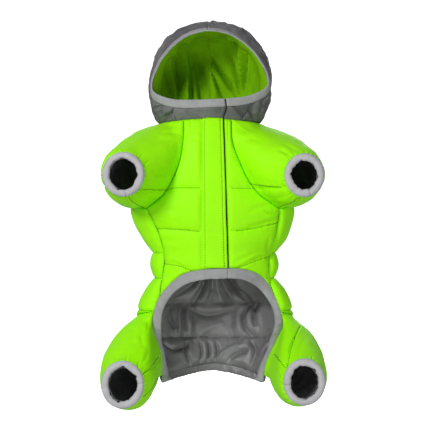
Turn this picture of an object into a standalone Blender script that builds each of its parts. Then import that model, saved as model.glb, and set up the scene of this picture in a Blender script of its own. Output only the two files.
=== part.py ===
"""Padded jumpsuit for a small dog: hood, chest and back panels, four short legs with
elastic cuffs, a belly opening with bound edges and an elastic hem under the tail.

It keeps the filled-out form of a worn garment, hollow all through.  Upright: +Z runs up
the garment towards the hood, -Y is the belly side with the placket, +Y the back, and +X
is the viewer's right when looking at the belly.  The origin is the middle of the neck
seam, where the wearer holds it.  Tables are in millimetres and degrees.
"""
import math
from collections import namedtuple

import bpy
import numpy as np

MM = 0.001                      # tables are in millimetres, meshes in metres
LEFT, RIGHT = -1, 1             # sides as seen from the belly

# Driving dimensions, in millimetres
CLOTH = 2.0                     # padded cloth wall between the puffs
LINING = 1.2                    # thin lining cloth
TAPE = 2.4                      # folded binding tape
TAPE_CROWN = 0.8                # how proud the middle of the tape stands
HEM_WALL = 3.0                  # casing with the elastic inside
SEAM_GAP = 0.4                  # space left between pieces that are sewn together
CORNER_GAP = 1.2                # more of it at the pointed corners of a leg seam
BINDING_GAP = 0.7               # space between the belly binding and the cloth that it edges
LAYER_GAP = 1.0                 # space between a lining and the cloth that it backs
PUFF = 4.2                      # height of the back's quilted puffs over their stitch lines
CHEST_PUFF = 3.4                # height of the chest's puffs
PUFF_RISE = 9.0                 # distance over which a puff rises beside a seam
TAPE_WIDTH = 12.5               # width of the belly binding
HEM_WIDTH = 11.5                # width of the elastic hem casing
HEM_PULL = 2.0                  # how far the elastic draws the hem in
HEM_DROP = 323.0                # drop of the casing's seam at mid back
NECK_DIP, NECK_RISE = 5.0, 7.0  # neck seam: lower at the sides, higher at the nape
NECK_FADE = 45.0                # distance over which that wave of the neck seam dies out
FLAP_LEFT, FLAP_RIGHT = -13.0, 12.5  # placket flap's edges at the neck
FLAP_LEAN = 6.0                 # how far the free edge moves over by the belly opening
FLAP_LENGTH = 193.4             # drop of the flap's lower end
FLAP, FLAP_LIFT = 1.8, 0.7      # the flap's wall, and its height over the panel under it
ZIP_OPEN = 2.2                  # strip of zip tape that shows beside the flap
UNDERARM = 117.0                # drop of the underarm point
LEG_TOP = 250.0                 # drop of the front corner of the leg seam
LEG_BOTTOM = 337.0              # drop of the leg seam's end at the hem
GATHER = 1.3                    # depth of the gathers at a cuff
LIMB_SWELL = 3.4                # padding's swell half way along a leg
LIMB_LINING_DEEP = 5.0          # how far a leg's lining lies inside its cloth form
MOUTH_BACK = 1.3                # how far behind the cuff's plane the lining is sewn on
LINING_TOP, LINING_SHORT = 186, 6     # back lining: upper row, degrees short of the seam
LINING_LONG = 3.0               # how far the back lining reaches down over the casing

# Rings of the trunk: drop below the neck seam, side edges, depth to belly and to back
Ring = namedtuple("Ring", "drop left right belly back")
TRUNK = [
    Ring(0, -72, 62, 37, 46),
    Ring(30, -79, 73, 48, 60),
    Ring(60, -89, 84, 54, 67),
    Ring(90, -98, 96, 57, 70),
    Ring(117, -106, 104, 57, 69),
    Ring(137, -100, 100, 56, 65),
    Ring(155, -90, 94, 54, 60),
    Ring(175, -79, 82, 51, 56),
    Ring(190, -79, 83, 51, 54),
    Ring(208, -77, 81, 50, 54),
    Ring(226, -86, 92, 49, 56),
    Ring(248, -97, 102, 47, 57),
    Ring(270, -98, 102, 43, 57),
    Ring(295, -90, 92, 35, 53),
    Ring(320, -77, 78, 30, 46),
    Ring(338, -70, 69.5, 24, 39),
    Ring(350, -67.5, 66.5, 21, 35),
]

# Front seam, seen from the belly: raglan to the underarm, then the side seam
Seam = namedtuple("Seam", "drop left right")
FRONT_SEAM = [
    Seam(0, -38.5, 24.5),
    Seam(30, -39.0, 25.5),
    Seam(60, -44.5, 36.0),
    Seam(85, -55.5, 49.0),
    Seam(103, -68.0, 65.0),
    Seam(UNDERARM, -86.5, 86.0),
]
SIDE_SEAM = [
    Seam(UNDERARM, -86.5, 86.0),
    Seam(130, -79.0, 85.5),
    Seam(147, -71.5, 82.5),
    Seam(165, -66.0, 77.5),
    Seam(185, -64.0, 73.8),
    Seam(205, -66.5, 74.0),
    Seam(229, -69.5, 79.8),
]

# Back panel: how far round it reaches from mid back, in degrees, row by row.  Down to the
# underarm this is the back raglan, below the hip it is the seam of the hind leg.
Reach = namedtuple("Reach", "drop angle")
BACK_RAGLAN = [
    Reach(0, 32), Reach(18, 34), Reach(35, 37), Reach(52, 42), Reach(70, 48),
    Reach(84, 55), Reach(96, 63), Reach(105, 74), Reach(111, 89), Reach(115, 107),
]
LEG_SEAM = [
    Reach(252, 117), Reach(254.5, 104), Reach(258, 92), Reach(263, 82), Reach(271, 75),
    Reach(283, 71), Reach(296, 69), Reach(309, 70), Reach(320, 76), Reach(330, 88),
    Reach(LEG_BOTTOM, 103),
]

# Belly opening, seen from the belly: outer and inner edge of its binding tape
Edge = namedtuple("Edge", "out_left out_right out_drop in_left in_right in_drop")
OPENING = [
    Edge(19.0, 19.0, 193.4, 19.0, 19.0, 206.6),
    Edge(-9.0, 38.0, 195.0, -9.0, 36.0, 207.9),
    Edge(-34.0, 54.0, 199.5, -30.0, 48.0, 212.5),
    Edge(-48.0, 66.0, 207.5, -44.0, 59.0, 220.0),
    Edge(-61.0, 75.0, 220.0, -56.0, 69.0, 232.0),
    Edge(-71.0, 82.0, 234.0, -63.0, 76.5, 244.5),
    Edge(-77.0, 88.0, LEG_TOP, -66.8, 80.2, 257.5),
    Edge(-79.5, 92.0, 268.0, -67.6, 80.2, 273.0),
    Edge(-75.5, 86.0, 284.0, -67.4, 75.0, 288.0),
    Edge(-69.5, 78.0, 300.0, -65.6, 71.5, 303.0),
    Edge(-67.0, 70.0, 319.0, -62.6, 64.5, 318.0),
    Edge(-67.5, 67.0, LEG_BOTTOM, -59.0, 59.0, 331.0),
]

# Quilt lines of the back; rows that the back shares with the chest along the side seam
BACK_LINES = [0, 35, 70, 105, 175, 208, 250, 296, LEG_BOTTOM]
SIDE_ROWS = [UNDERARM, 125, 133, 140, 151, 163, 175, 186, 197, 208, 218, 229]

# Chest rows: drop at the placket and at the raglan or side seam; quilt lines are marked
ChestRow = namedtuple("ChestRow", "centre side rows quilted")
CHEST = [
    ChestRow(0, 0, 0, True),
    ChestRow(91, 91, 7, True),
    ChestRow(112, UNDERARM, 3, False),
    ChestRow(146, 140, 3, True),
    ChestRow(188, 186, 4, True),
]

# Face opening of the hood against the neck seam's angle from mid front: outer edge of the
# tape (half width, height, depth) and its free edge (half width, height)
Rim = namedtuple("Rim", "turn half height depth free_half free_height")
HOOD_RIM = [
    Rim(0, 0, 13.0, -45.0, 0, 23.5),
    Rim(18, 22, 13.2, -43.0, 21, 23.8),
    Rim(36, 44, 15.0, -37.0, 43, 25.5),
    Rim(52, 62, 20.0, -30.0, 60.5, 30.0),
    Rim(68, 75.5, 29.5, -22.0, 74.2, 37.5),
    Rim(84, 78.0, 44.0, -16.0, 76.6, 46.5),
    Rim(102, 74.0, 62.5, -14.0, 71.8, 63.0),
    Rim(122, 62.5, 84.5, -15.0, 59.5, 83.5),
    Rim(145, 38.5, 107.5, -18.0, 36.4, 104.2),
    Rim(163, 19.0, 116.4, -20.0, 18.0, 112.2),
    Rim(180, 0, 119.4, -21.0, 0, 115.0),
]
HOOD_MIDDLE = -4.6              # the hood's middle plane
HOOD_TILT, HOOD_PIVOT = 2.6, 60.0    # the face opening leans over, about this height
HOOD_LEAN = 7.0                 # how far the crown sags over to the right
HOOD_TAPE = 10.5                # width of the tape round the face
BAND_TURN = 40.0                # the front collar bands reach this far round the neck

# Pull of the hood's cloth where it leaves the neck seam and where it meets the tape
Pull = namedtuple("Pull", "turn neck_out neck_up rim_out rim_back rim_up")
HOOD_PULL = [
    Pull(0, 0, 4, 0, 2, -4),
    Pull(36, 3, 5, 3, 3, -5),
    Pull(60, 8, 10, 5, 8, -6),
    Pull(85, 9, 18, 5, 22, 0),
    Pull(110, 15, 40, 13, 40, 12),
    Pull(140, 42, 76, 23, 50, 29),
    Pull(180, 62, 102, 0, 58, 39),
]

# Upright folds of the hood's lining: place round the neck, 180 at the nape and more on the
# left, half width in degrees, and how far the fold hangs in
Hang = namedtuple("Hang", "turn width depth")
LINING_FOLDS = [
    Hang(227, 5, 3.5), Hang(208, 6, 5.0), Hang(178, 8, 5.0), Hang(151, 5, 5.0),
    Hang(136, 5, 3.5),
]

# Legs: place and size of each cuff ring, which faces the belly side, how much fuller than
# the cuff the cloth is behind it, and how far it sags below it
Cuff = namedtuple("Cuff", "x y z half_width half_height full sag")
CUFFS = {
    "front_left": Cuff(-111.4, -100, -74.8, 26.0, 27.5, 3.0, 2.0),
    "front_right": Cuff(114.2, -100, -76.0, 24.5, 27.0, 1.5, -3.5),
    "hind_left": Cuff(-112.4, -100, -337.0, 26.5, 29.5, 4.0, 2.0),
    "hind_right": Cuff(114.2, -100, -333.5, 26.0, 29.0, 2.0, 2.5),
}
CUFF_TAPE = 8.6                 # width of the elastic cuff tape as it faces the viewer
CUFF_SECTION = [                # the rolled tape's section: in from its rim, and back
    (-0.4, -0.2), (0.3, -2.8), (2.4, -4.6), (5.6, -5.0), (8.0, -3.4), (CUFF_TAPE, -0.6),
    (7.6, 1.2), (6.0, -0.8), (3.0, -0.4),
]

# Cloth pulls along a leg, by clock angle on the cuff (0 up, 90 away from the trunk):
# out, back and up where it leaves the seam; flare and back where it meets the cuff
Loft = namedtuple("Loft", "clock out back up flare cuff_back")
SLEEVE_LOFT = [
    Loft(-50, 12, -6, -15, 8, 18),
    Loft(-5, 22, -4, -9, 10, 28),
    Loft(40, 40, 4, -9, 15, 42),
    Loft(90, 50, -8, -2, 13, 48),
    Loft(140, 24, -18, 2, 8, 34),
    Loft(195, 10, -20, -2, 7, 22),
    Loft(250, 12, -14, -2, 6, 16),
]
LEG_LOFT = [
    Loft(-45, 9, -14, -16, 10, 20),
    Loft(0, 19, -8, -13, 14, 32),
    Loft(45, 28, 4, -10, 17, 42),
    Loft(90, 42, 8, -8, 15, 50),
    Loft(140, 26, 8, -24, 15, 46),
    Loft(185, 8, -6, -24, 14, 34),
    Loft(205, 6, -12, -18, 13, 26),
    Loft(260, 4, -18, -8, 8, 18),
]
NECK_CLOCKS = (-50, 40)         # clock angles of the sleeve's corners at the neck
UNDERARM_CLOCK = 195
LEG_CLOCKS = (-45, 200)         # the leg seam's top corner and its corner at the hem

# Mesh columns and rows
NECK_COLUMNS = 7                # of a sleeve along the neck seam
LEG_EDGE_COLUMNS = 9            # of a hind leg along the belly opening
CHEST_COLUMNS = {LEFT: 11, RIGHT: 9}
BACK_COLUMNS, LINING_COLUMNS = 23, 17
ARCH_ROWS = 4                   # between the chest's lowest quilt line and the opening
LIMB_ROWS, HOOD_ROWS = 9, 10
LIMB_SOFTENING = 3              # passes that even out a leg's columns
SHARP = 50                      # degrees over which an edge is shaded sharp
COLLECTION = "dog_jumpsuit"


# ---------------------------------------------------------------- curves and the trunk

def smooth(knots, values, at):
    """Smooth curve through the values at rising knots, read at the given places."""
    knots, values = np.asarray(knots, float), np.asarray(values, float)
    at = np.asarray(at, float)
    slopes = np.gradient(values, knots, axis=0)
    i = np.clip(np.searchsorted(knots, at, side="right") - 1, 0, len(knots) - 2)
    step = knots[i + 1] - knots[i]
    f = (at - knots[i]) / step
    if values.ndim == 2:
        step, f = step[..., None], f[..., None]
    return ((2 * f**3 - 3 * f**2 + 1) * values[i] + (3 * f**2 - 2 * f**3) * values[i + 1]
            + (f**3 - 2 * f**2 + f) * step * slopes[i] + (f**3 - f**2) * step * slopes[i + 1])


def column(table, name):
    """One named column of a table."""
    return [getattr(row, name) for row in table]


def read(table, key, names, at):
    """Named columns of a table, read smoothly by its key column; one array each."""
    values = [[getattr(row, name) for name in names] for row in table]
    return np.moveaxis(smooth(column(table, key), values, at), -1, 0)


def unit(vectors):
    """Vectors scaled to length one."""
    return vectors / np.maximum(np.linalg.norm(vectors, axis=-1, keepdims=True), 1e-9)


def trunk(turn, drop):
    """Points of the trunk's form: turn in radians from mid front, drop below the neck."""
    turn, drop = np.broadcast_arrays(np.asarray(turn, float), np.asarray(drop, float))
    left, right, belly, back = read(TRUNK, "drop", ("left", "right", "belly", "back"), drop)
    dip = NECK_DIP * np.sin(turn)**2 - NECK_RISE * np.maximum(-np.cos(turn), 0)**2
    fade = np.clip(1 - drop / NECK_FADE, 0, 1)**2
    x = (left + right) / 2 + (right - left) / 2 * np.sin(turn)
    y = -np.where(np.cos(turn) > 0, belly, back) * np.cos(turn)
    return np.stack([x, y, -(drop + dip * fade)], axis=-1)


def trunk_face(turn, drop):
    """Outward normals of the trunk's form."""
    step = 0.01
    around = trunk(turn + step, drop) - trunk(turn - step, drop)
    down = trunk(turn, np.asarray(drop) + step) - trunk(turn, np.maximum(drop, step) - step)
    return unit(np.cross(down, around))


def trunk_turn(x, drop):
    """Turn of the place on the belly side of the trunk that lies at x."""
    left, right = read(TRUNK, "drop", ("left", "right"), drop)
    return np.arcsin(np.clip((np.asarray(x) - (left + right) / 2) / ((right - left) / 2), -1, 1))


def side_name(side):
    """Word for a side."""
    return "left" if side == LEFT else "right"


def seam_x(side, drop):
    """The front seam's place across, at a drop: raglan above the underarm, side seam below."""
    raglan = read(FRONT_SEAM, "drop", (side_name(side),), np.minimum(drop, UNDERARM))[0]
    below = read(SIDE_SEAM, "drop", (side_name(side),), np.maximum(drop, UNDERARM))[0]
    return np.where(np.asarray(drop) <= UNDERARM, raglan, below)


def opening(side, station, edge="out"):
    """Across and drop of the belly opening's edge, by station along its table."""
    stations = np.arange(len(OPENING))
    values = [[getattr(row, f"{edge}_{side_name(side)}"), getattr(row, f"{edge}_drop")]
              for row in OPENING]
    return np.moveaxis(smooth(stations, values, station), -1, 0)


def opening_station(drop):
    """Station of the opening's outer edge at a drop on its lower, steep part."""
    return np.interp(drop, column(OPENING, "out_drop"), np.arange(len(OPENING)))


def arch_station(side, x):
    """Station of the opening's outer edge under the chest, at a place across."""
    fine = np.linspace(0, 6, 121)
    return np.interp(side * np.asarray(x), side * opening(side, fine)[0], fine)


def arch_drop(side, x):
    """Drop of the opening's outer edge under the chest, at a place across."""
    return opening(side, arch_station(side, x))[1]


def back_reach(side, drop):
    """Angle from mid back to the back panel's side edge at one row."""
    if drop < UNDERARM:
        return math.radians(np.interp(drop, column(BACK_RAGLAN, "drop"),
                                      column(BACK_RAGLAN, "angle")))
    if drop <= SIDE_SEAM[-1].drop:
        x = seam_x(side, drop)
    elif drop <= LEG_TOP:
        x = opening(side, opening_station(drop))[0]
    else:
        return math.radians(np.interp(drop, column(LEG_SEAM, "drop"),
                                      column(LEG_SEAM, "angle")))
    return math.pi - abs(float(trunk_turn(x, drop)))


# ---------------------------------------------------------------- walls of cloth

def normals(grid, closed, toward=None):
    """Soft outward normals of a grid: away from each row's middle, or toward a direction."""
    if closed:
        across = np.roll(grid, -1, axis=1) - np.roll(grid, 1, axis=1)
    else:
        across = np.gradient(grid, axis=1)
    face = unit(np.cross(np.gradient(grid, axis=0), across))
    away = grid - grid.mean(axis=1, keepdims=True) if toward is None else np.array(toward)
    face = face * np.sign(np.sum(face * away))
    padded = np.concatenate([face[:1], face, face[-1:]])
    ends = (face[:, -1:], face[:, :1]) if closed else (face[:, :1], face[:, -1:])
    sideways = np.concatenate([ends[0], face, ends[1]], axis=1)
    return unit(2 * face + padded[:-2] + padded[2:] + sideways[:, :-2] + sideways[:, 2:])


BORDERS = {"top": (0, 1), "bottom": (-1, -2), "first": (0, 1), "last": (-1, -2)}


def inset(grid, face, closed, sides, gap=SEAM_GAP / 2):
    """Moves the named borders of a grid into the piece, square to the border."""
    moved = grid.copy()
    for side in sides:
        border, inner = BORDERS[side]
        if side in ("top", "bottom"):
            line, behind, up = grid[border], grid[inner], face[border]
            if closed:
                along = np.roll(line, -1, axis=0) - np.roll(line, 1, axis=0)
            else:
                along = np.gradient(line, axis=0)
        else:
            line, behind, up = grid[:, border], grid[:, inner], face[:, border]
            along = np.gradient(line, axis=0)
        into = unit(np.cross(up, along))
        into = into * np.sign(np.sum(into * (behind - line))) * gap
        if side in ("top", "bottom"):
            moved[border] += into
        else:
            moved[:, border] += into
    return moved


def wall_faces(rows, columns, closed):
    """Faces of a closed wall between an outer and an inner grid."""
    layer = rows * columns
    spans = columns if closed else columns - 1

    def at(row, col, depth):
        return depth * layer + row * columns + col % columns

    faces = []
    for row in range(rows - 1):
        for col in range(spans):
            quad = ((row, col), (row, col + 1), (row + 1, col + 1), (row + 1, col))
            faces.append([at(r, c, 0) for r, c in quad])
            faces.append([at(r, c, 1) for r, c in (quad[0], quad[3], quad[2], quad[1])])
    last, end = rows - 1, columns - 1
    for col in range(spans):
        faces.append([at(0, col + 1, 0), at(0, col, 0), at(0, col, 1), at(0, col + 1, 1)])
        faces.append([at(last, col, 0), at(last, col + 1, 0), at(last, col + 1, 1),
                      at(last, col, 1)])
    for row in range(last if not closed else 0):
        faces.append([at(row, 0, 0), at(row + 1, 0, 0), at(row + 1, 0, 1), at(row, 0, 1)])
        faces.append([at(row + 1, end, 0), at(row, end, 0), at(row, end, 1),
                      at(row + 1, end, 1)])
    return faces


def signed_volume(points, faces):
    """Volume of a closed mesh, negative when its faces point in."""
    total = 0.0
    for face in faces:
        start = points[face[0]]
        for second, third in zip(face[1:], face[2:]):
            total += np.dot(start, np.cross(points[second], points[third]))
    return total / 6


def add_piece(name, points, faces, material):
    """Adds one mesh object to the part's collection, with its faces pointing out."""
    points = np.asarray(points)
    if signed_volume(points, faces) < 0:
        faces = [face[::-1] for face in faces]
    mesh = bpy.data.meshes.new(name)
    mesh.from_pydata([tuple(point * MM) for point in points], [], faces)
    mesh.materials.append(material)
    mesh.shade_smooth()
    mesh.set_sharp_from_angle(angle=math.radians(SHARP))
    piece = bpy.data.objects.new(name, mesh)
    bpy.data.collections[COLLECTION].objects.link(piece)
    return piece


def cloth_wall(name, grid, face, material, thickness=CLOTH, raised=0.0, closed=False):
    """A cloth wall: the grid with its puffs outside, the plain grid moved in inside."""
    outer = grid + face * np.broadcast_to(raised, grid.shape[:2])[..., None]
    inner = grid - face * thickness
    rows, columns = grid.shape[:2]
    points = np.concatenate([outer.reshape(-1, 3), inner.reshape(-1, 3)])
    return add_piece(name, points, wall_faces(rows, columns, closed), material)


def tape_form(edge, face, free, thickness=TAPE, start_gap=SEAM_GAP / 2):
    """Grid and normals of tape from a cloth edge to the tape's own free edge."""
    along = np.gradient(edge, axis=0)
    off = unit(np.cross(along, face))
    off = off * np.sign(np.sum(off * (free - edge)))
    own = unit(np.cross(along, free - edge))
    own = own * np.sign(np.sum(own * face))
    turned = np.clip(-np.sum(unit(free - edge) * face, axis=1), 0, 1)[:, None]
    start = edge + off * start_gap
    middle = (edge + free) / 2 + off * (start_gap + thickness * turned)
    return (np.stack([start, middle, free + off * start_gap]),
            np.stack([face, unit(own + face * 0.3), own]))


def tape_piece(name, grid, face, material, thickness=TAPE):
    """Tape as a wall that stands a little proud along its middle; its ends stay clear."""
    grid = inset(grid, face, False, ("first", "last"))
    raised = np.array([0.3, TAPE_CROWN, 0.3])[:, None]
    return cloth_wall(name, grid, face, material, thickness, raised)


def puffs(at, lines):
    """Height from 0 at each quilt line to 1 in the middle between two lines."""
    lines, at = np.asarray(lines, float), np.asarray(at, float)
    i = np.clip(np.searchsorted(lines, at, side="right") - 1, 0, len(lines) - 2)
    part = np.clip((at - lines[i]) / (lines[i + 1] - lines[i]), 0, 1)
    return (4 * part * (1 - part))**0.6


# ---------------------------------------------------------------- trunk pieces

def flap_edge(drop):
    """Place across of the placket's free edge."""
    return FLAP_RIGHT + FLAP_LEAN * np.clip(np.asarray(drop) / FLAP_LENGTH, 0, 1)


def chest_rows():
    """Drops of the chest's rows at the placket and at the side, and their puff heights."""
    centre, side, height = [0.0], [0.0], [0.0]
    lines = [row.centre for row in CHEST if row.quilted]
    for above, row in zip(CHEST, CHEST[1:]):
        for step in range(1, row.rows + 1):
            part = step / row.rows
            centre.append(above.centre + (row.centre - above.centre) * part)
            side.append(above.side + (row.side - above.side) * part)
            height.append(float(puffs(centre[-1], lines)))
    shared = len([drop for drop in SIDE_ROWS if drop <= CHEST[-1].side])
    side[-shared:] = SIDE_ROWS[:shared]
    return np.array(centre), np.array(side), np.array(height)


def chest_columns(side, drops, spans):
    """Places across of one chest row; the left panel runs on under the flap."""
    seam = seam_x(side, drops[-1])
    if side == RIGHT:
        start = flap_edge(drops[0]) + ZIP_OPEN
        return start + (seam - start) * spans
    under = flap_edge(drops[0]) - ZIP_OPEN
    part = np.clip(spans * 1.25 - 0.25, 0, 1)
    covered = under + (FLAP_LEFT - under) * np.clip(spans * 5, 0, 1)
    return covered + (seam - FLAP_LEFT) * part


def chest_grid(side):
    """Turns, drops and puff heights of a chest panel, and its lower edge's places across."""
    centre, edge, height = chest_rows()
    spans = np.linspace(0, 1, CHEST_COLUMNS[side])
    places, drops, heights = [], [], []
    for middle, outer, puff in zip(centre, edge, height):
        drops.append(middle + (outer - middle) * spans**2)
        places.append(chest_columns(side, drops[-1], spans))
        heights.append(np.full(len(spans), puff))
    arch_sides = SIDE_ROWS[-ARCH_ROWS:]
    foot = chest_columns(side, np.array([FLAP_LENGTH, arch_sides[-1]]), spans)
    arch = arch_drop(side, foot)
    arch[-1] = arch_sides[-1]
    lowest = drops[-1]
    for step, side_drop in enumerate(arch_sides, start=1):
        part = step / ARCH_ROWS
        row = lowest + (arch - lowest) * part
        row[-1] = side_drop
        drops.append(row)
        places.append(chest_columns(side, row, spans))
        heights.append(2.2 * part * (1 - part) * spans)
    places[-1] = foot
    return np.array(places), np.array(drops), np.array(heights)


def chest_panel(side, material):
    """Front panel from the placket to the raglan and side seams, down to the opening."""
    places, drops, heights = chest_grid(side)
    turns = trunk_turn(places, drops)
    grid, face = trunk(turns, drops), trunk_face(turns, drops)
    grid = inset(grid, face, False, ("top", "bottom", "last"))
    start = FLAP_LEFT if side == LEFT else flap_edge(drops) + ZIP_OPEN
    seam = seam_x(side, drops[:, -1:])
    open_side = np.clip(side * (places - start) / PUFF_RISE, 0, 1)
    seam_side = np.clip(side * (seam - places) / PUFF_RISE, 0, 1)
    raised = CHEST_PUFF * heights * open_side * np.maximum(seam_side, 0.1)
    return cloth_wall(f"chest_panel_{side_name(side)}", grid, face, material, raised=raised)


def hem_drop(angle):
    """Drop of the seam between the back and the hem casing, by angle from mid back."""
    part = np.sin(np.minimum(np.abs(angle), math.pi / 2))
    return HEM_DROP + (LEG_BOTTOM - HEM_DROP) * part**1.35


def back_grid(columns, first_drop=0.0, short=0.0):
    """Turns and drops of the back from side edge to side edge, and each row's own drop.

    The first row and how many degrees it stops short of the side edges can be set.
    """
    rows = np.array(column(BACK_RAGLAN, "drop") + SIDE_ROWS + [240, LEG_TOP]
                    + column(LEG_SEAM, "drop"), float)
    rows = rows[rows >= first_drop]
    spread = np.linspace(-1, 1, columns)
    edge = np.abs(spread)**6
    turns, drops = [], []
    for drop in rows:
        reach = np.where(spread < 0, back_reach(LEFT, drop), back_reach(RIGHT, drop))
        angle = spread * (reach - math.radians(short))
        low = np.clip((drop - LEG_TOP) / (LEG_BOTTOM - LEG_TOP), 0, 1)
        level = drop + (hem_drop(angle) - LEG_BOTTOM) * low * (1 - edge)
        turns.append(math.pi - angle)
        drops.append(level)
    return np.array(turns), np.array(drops), rows


def back_panel(material):
    """The back, from the nape to the hem, round to the side seams."""
    turns, drops, rows = back_grid(BACK_COLUMNS)
    grid, face = trunk(turns, drops), trunk_face(turns, drops)
    grid = inset(grid, face, False, ("top", "bottom", "first", "last"))
    spread = np.abs(np.linspace(-1, 1, BACK_COLUMNS))
    edge_fade = np.clip((1 - spread) * 9, 0.1, 1)
    raised = PUFF * puffs(rows, BACK_LINES)[:, None] * edge_fade
    return cloth_wall("back_panel", grid, face, material, raised=raised)


def back_lining(material):
    """Lining of the lower back, which shows through the belly opening."""
    turns, drops, _ = back_grid(LINING_COLUMNS, LINING_TOP, LINING_SHORT)
    drops[-1] += LINING_LONG
    grid, face = trunk(turns, drops), trunk_face(turns, drops)
    sunk = grid - face * (CLOTH + 2 * LAYER_GAP)
    return cloth_wall("back_lining", sunk, face, material, LINING)


def placket(material, rows=15):
    """Flap over the zip, sewn along its left edge, free along its right edge."""
    drops = np.linspace(0, FLAP_LENGTH, rows)[:, None]
    places = FLAP_LEFT + (flap_edge(drops) - FLAP_LEFT) * np.linspace(0, 1, 4)
    turns = trunk_turn(places, drops)
    grid, face = trunk(turns, drops), trunk_face(turns, drops)
    grid = inset(grid, face, False, ("top", "bottom"), SEAM_GAP)
    lifted = grid + face * (FLAP + FLAP_LIFT)
    return cloth_wall("placket_flap", lifted, face, material, FLAP)


def zip_tape(material):
    """Zip tape behind the gap beside the flap, from the face opening to the belly opening."""
    offsets = np.array([-6.0, 3.0, 11.0])
    collar = hood_grid(trunk_turn(FLAP_RIGHT + offsets, 0.0), 4)[::-1]
    drops = np.linspace(4, FLAP_LENGTH - 4, 13)[:, None]
    trunk_part = trunk(trunk_turn(flap_edge(drops) + offsets, drops), drops)
    grid = np.concatenate([collar, trunk_part])
    face = normals(grid, False, toward=(0, -1, 0))
    grid = inset(grid, face, False, ("top",), 1.0)
    sunk = grid - face * (CLOTH + LAYER_GAP)
    return cloth_wall("zip_tape", sunk, face, material, LINING)


def belly_binding(side, material):
    """Tape round one half of the belly opening; low down it turns into the opening."""
    places, drops, _ = chest_grid(side)
    joined = places[-1][side * places[-1] > side * opening(side, 0)[0] + 1.0]
    upper = arch_station(side, joined)
    upper[-1] = opening_station(SIDE_ROWS[-1])
    on_trunk = np.concatenate([[0.0], upper, opening_station(np.array([240.0, LEG_TOP]))])
    x, drop = opening(side, on_trunk)
    turns = trunk_turn(x, drop)
    edge, face = trunk(turns, drop), trunk_face(turns, drop)
    leg, leg_face = limb_form(side, leg_root(side), LEG_LOFT, CUFFS[f"hind_{side_name(side)}"])
    edge = np.concatenate([edge, leg[0, :-LEG_EDGE_COLUMNS:-1], leg[:1, -LEG_EDGE_COLUMNS]])
    face = np.concatenate([face, leg_face[0, :-LEG_EDGE_COLUMNS:-1],
                           leg_face[:1, -LEG_EDGE_COLUMNS]])
    low = opening_station(np.linspace(LEG_TOP, LEG_BOTTOM, LEG_EDGE_COLUMNS + 1)[1:])
    stations = np.concatenate([on_trunk, low])
    x, drop = opening(side, stations)
    free_x, free_drop = opening(side, stations, "in")
    seen = np.hypot(free_x - x, free_drop - drop)
    turned = np.sqrt(np.maximum(TAPE_WIDTH**2 - seen**2, 0))
    free = np.stack([free_x, edge[:, 1] + turned, -free_drop], axis=-1)
    grid, face = tape_form(edge, face, free, start_gap=BINDING_GAP)
    return tape_piece(f"belly_binding_{side_name(side)}", grid, face, material)


def hem_casing(material):
    """Elastic casing along the hem, from one leg's corner to the other."""
    turns, drops, _ = back_grid(BACK_COLUMNS, LEG_BOTTOM)
    upper, face = trunk(turns[-1], drops[-1]), trunk_face(turns[-1], drops[-1])
    lower = trunk(turns[-1], drops[-1] + HEM_WIDTH)
    lower[:, 1] -= HEM_PULL
    grid, face = tape_form(upper, face, lower, HEM_WALL)
    return tape_piece("hem_casing", grid, face, material, HEM_WALL)


# ---------------------------------------------------------------- legs

def sleeve_root(side):
    """Sleeve seam: clock angles and points, neck, then back raglan, then front raglan."""
    corner = float(trunk_turn(seam_x(side, 0.0), 0.0))
    nape = side * (math.pi - back_reach(side, 0.0))
    neck = trunk(np.linspace(corner, nape, NECK_COLUMNS, endpoint=False), 0.0)
    rows = np.array(column(BACK_RAGLAN, "drop") + [UNDERARM], float)
    back = np.array([trunk(side * (math.pi - back_reach(side, drop)), drop) for drop in rows])
    chest = chest_rows()[1]
    front_rows = chest[chest <= UNDERARM][::-1]
    front = trunk(trunk_turn(seam_x(side, front_rows), front_rows), front_rows)
    clocks = np.concatenate([
        np.linspace(*NECK_CLOCKS, NECK_COLUMNS, endpoint=False),
        np.linspace(NECK_CLOCKS[1], UNDERARM_CLOCK, len(back)),
        np.linspace(UNDERARM_CLOCK, NECK_CLOCKS[0] + 360, len(front))[1:-1],
    ])
    return clocks, np.concatenate([neck, back, front[1:-1]])


def leg_root(side):
    """Leg seam: clock angles and points, down the back seam, up the opening's edge."""
    rows = np.array([LEG_TOP] + column(LEG_SEAM, "drop"), float)
    back = np.array([trunk(side * (math.pi - back_reach(side, drop)), drop) for drop in rows])
    stations = opening_station(np.linspace(LEG_BOTTOM, LEG_TOP, LEG_EDGE_COLUMNS + 1))
    x, drop = opening(side, stations[:-1])
    front = trunk(trunk_turn(x, drop), drop)
    top, hem = LEG_CLOCKS
    clocks = np.concatenate([
        np.linspace(top, hem, len(back))[:-1],
        np.linspace(hem, top + 360, len(front) + 1)[:-1],
    ])
    return clocks, np.concatenate([back[:-1], (back[-1:] + front[:1]) / 2, front[1:]])


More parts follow.
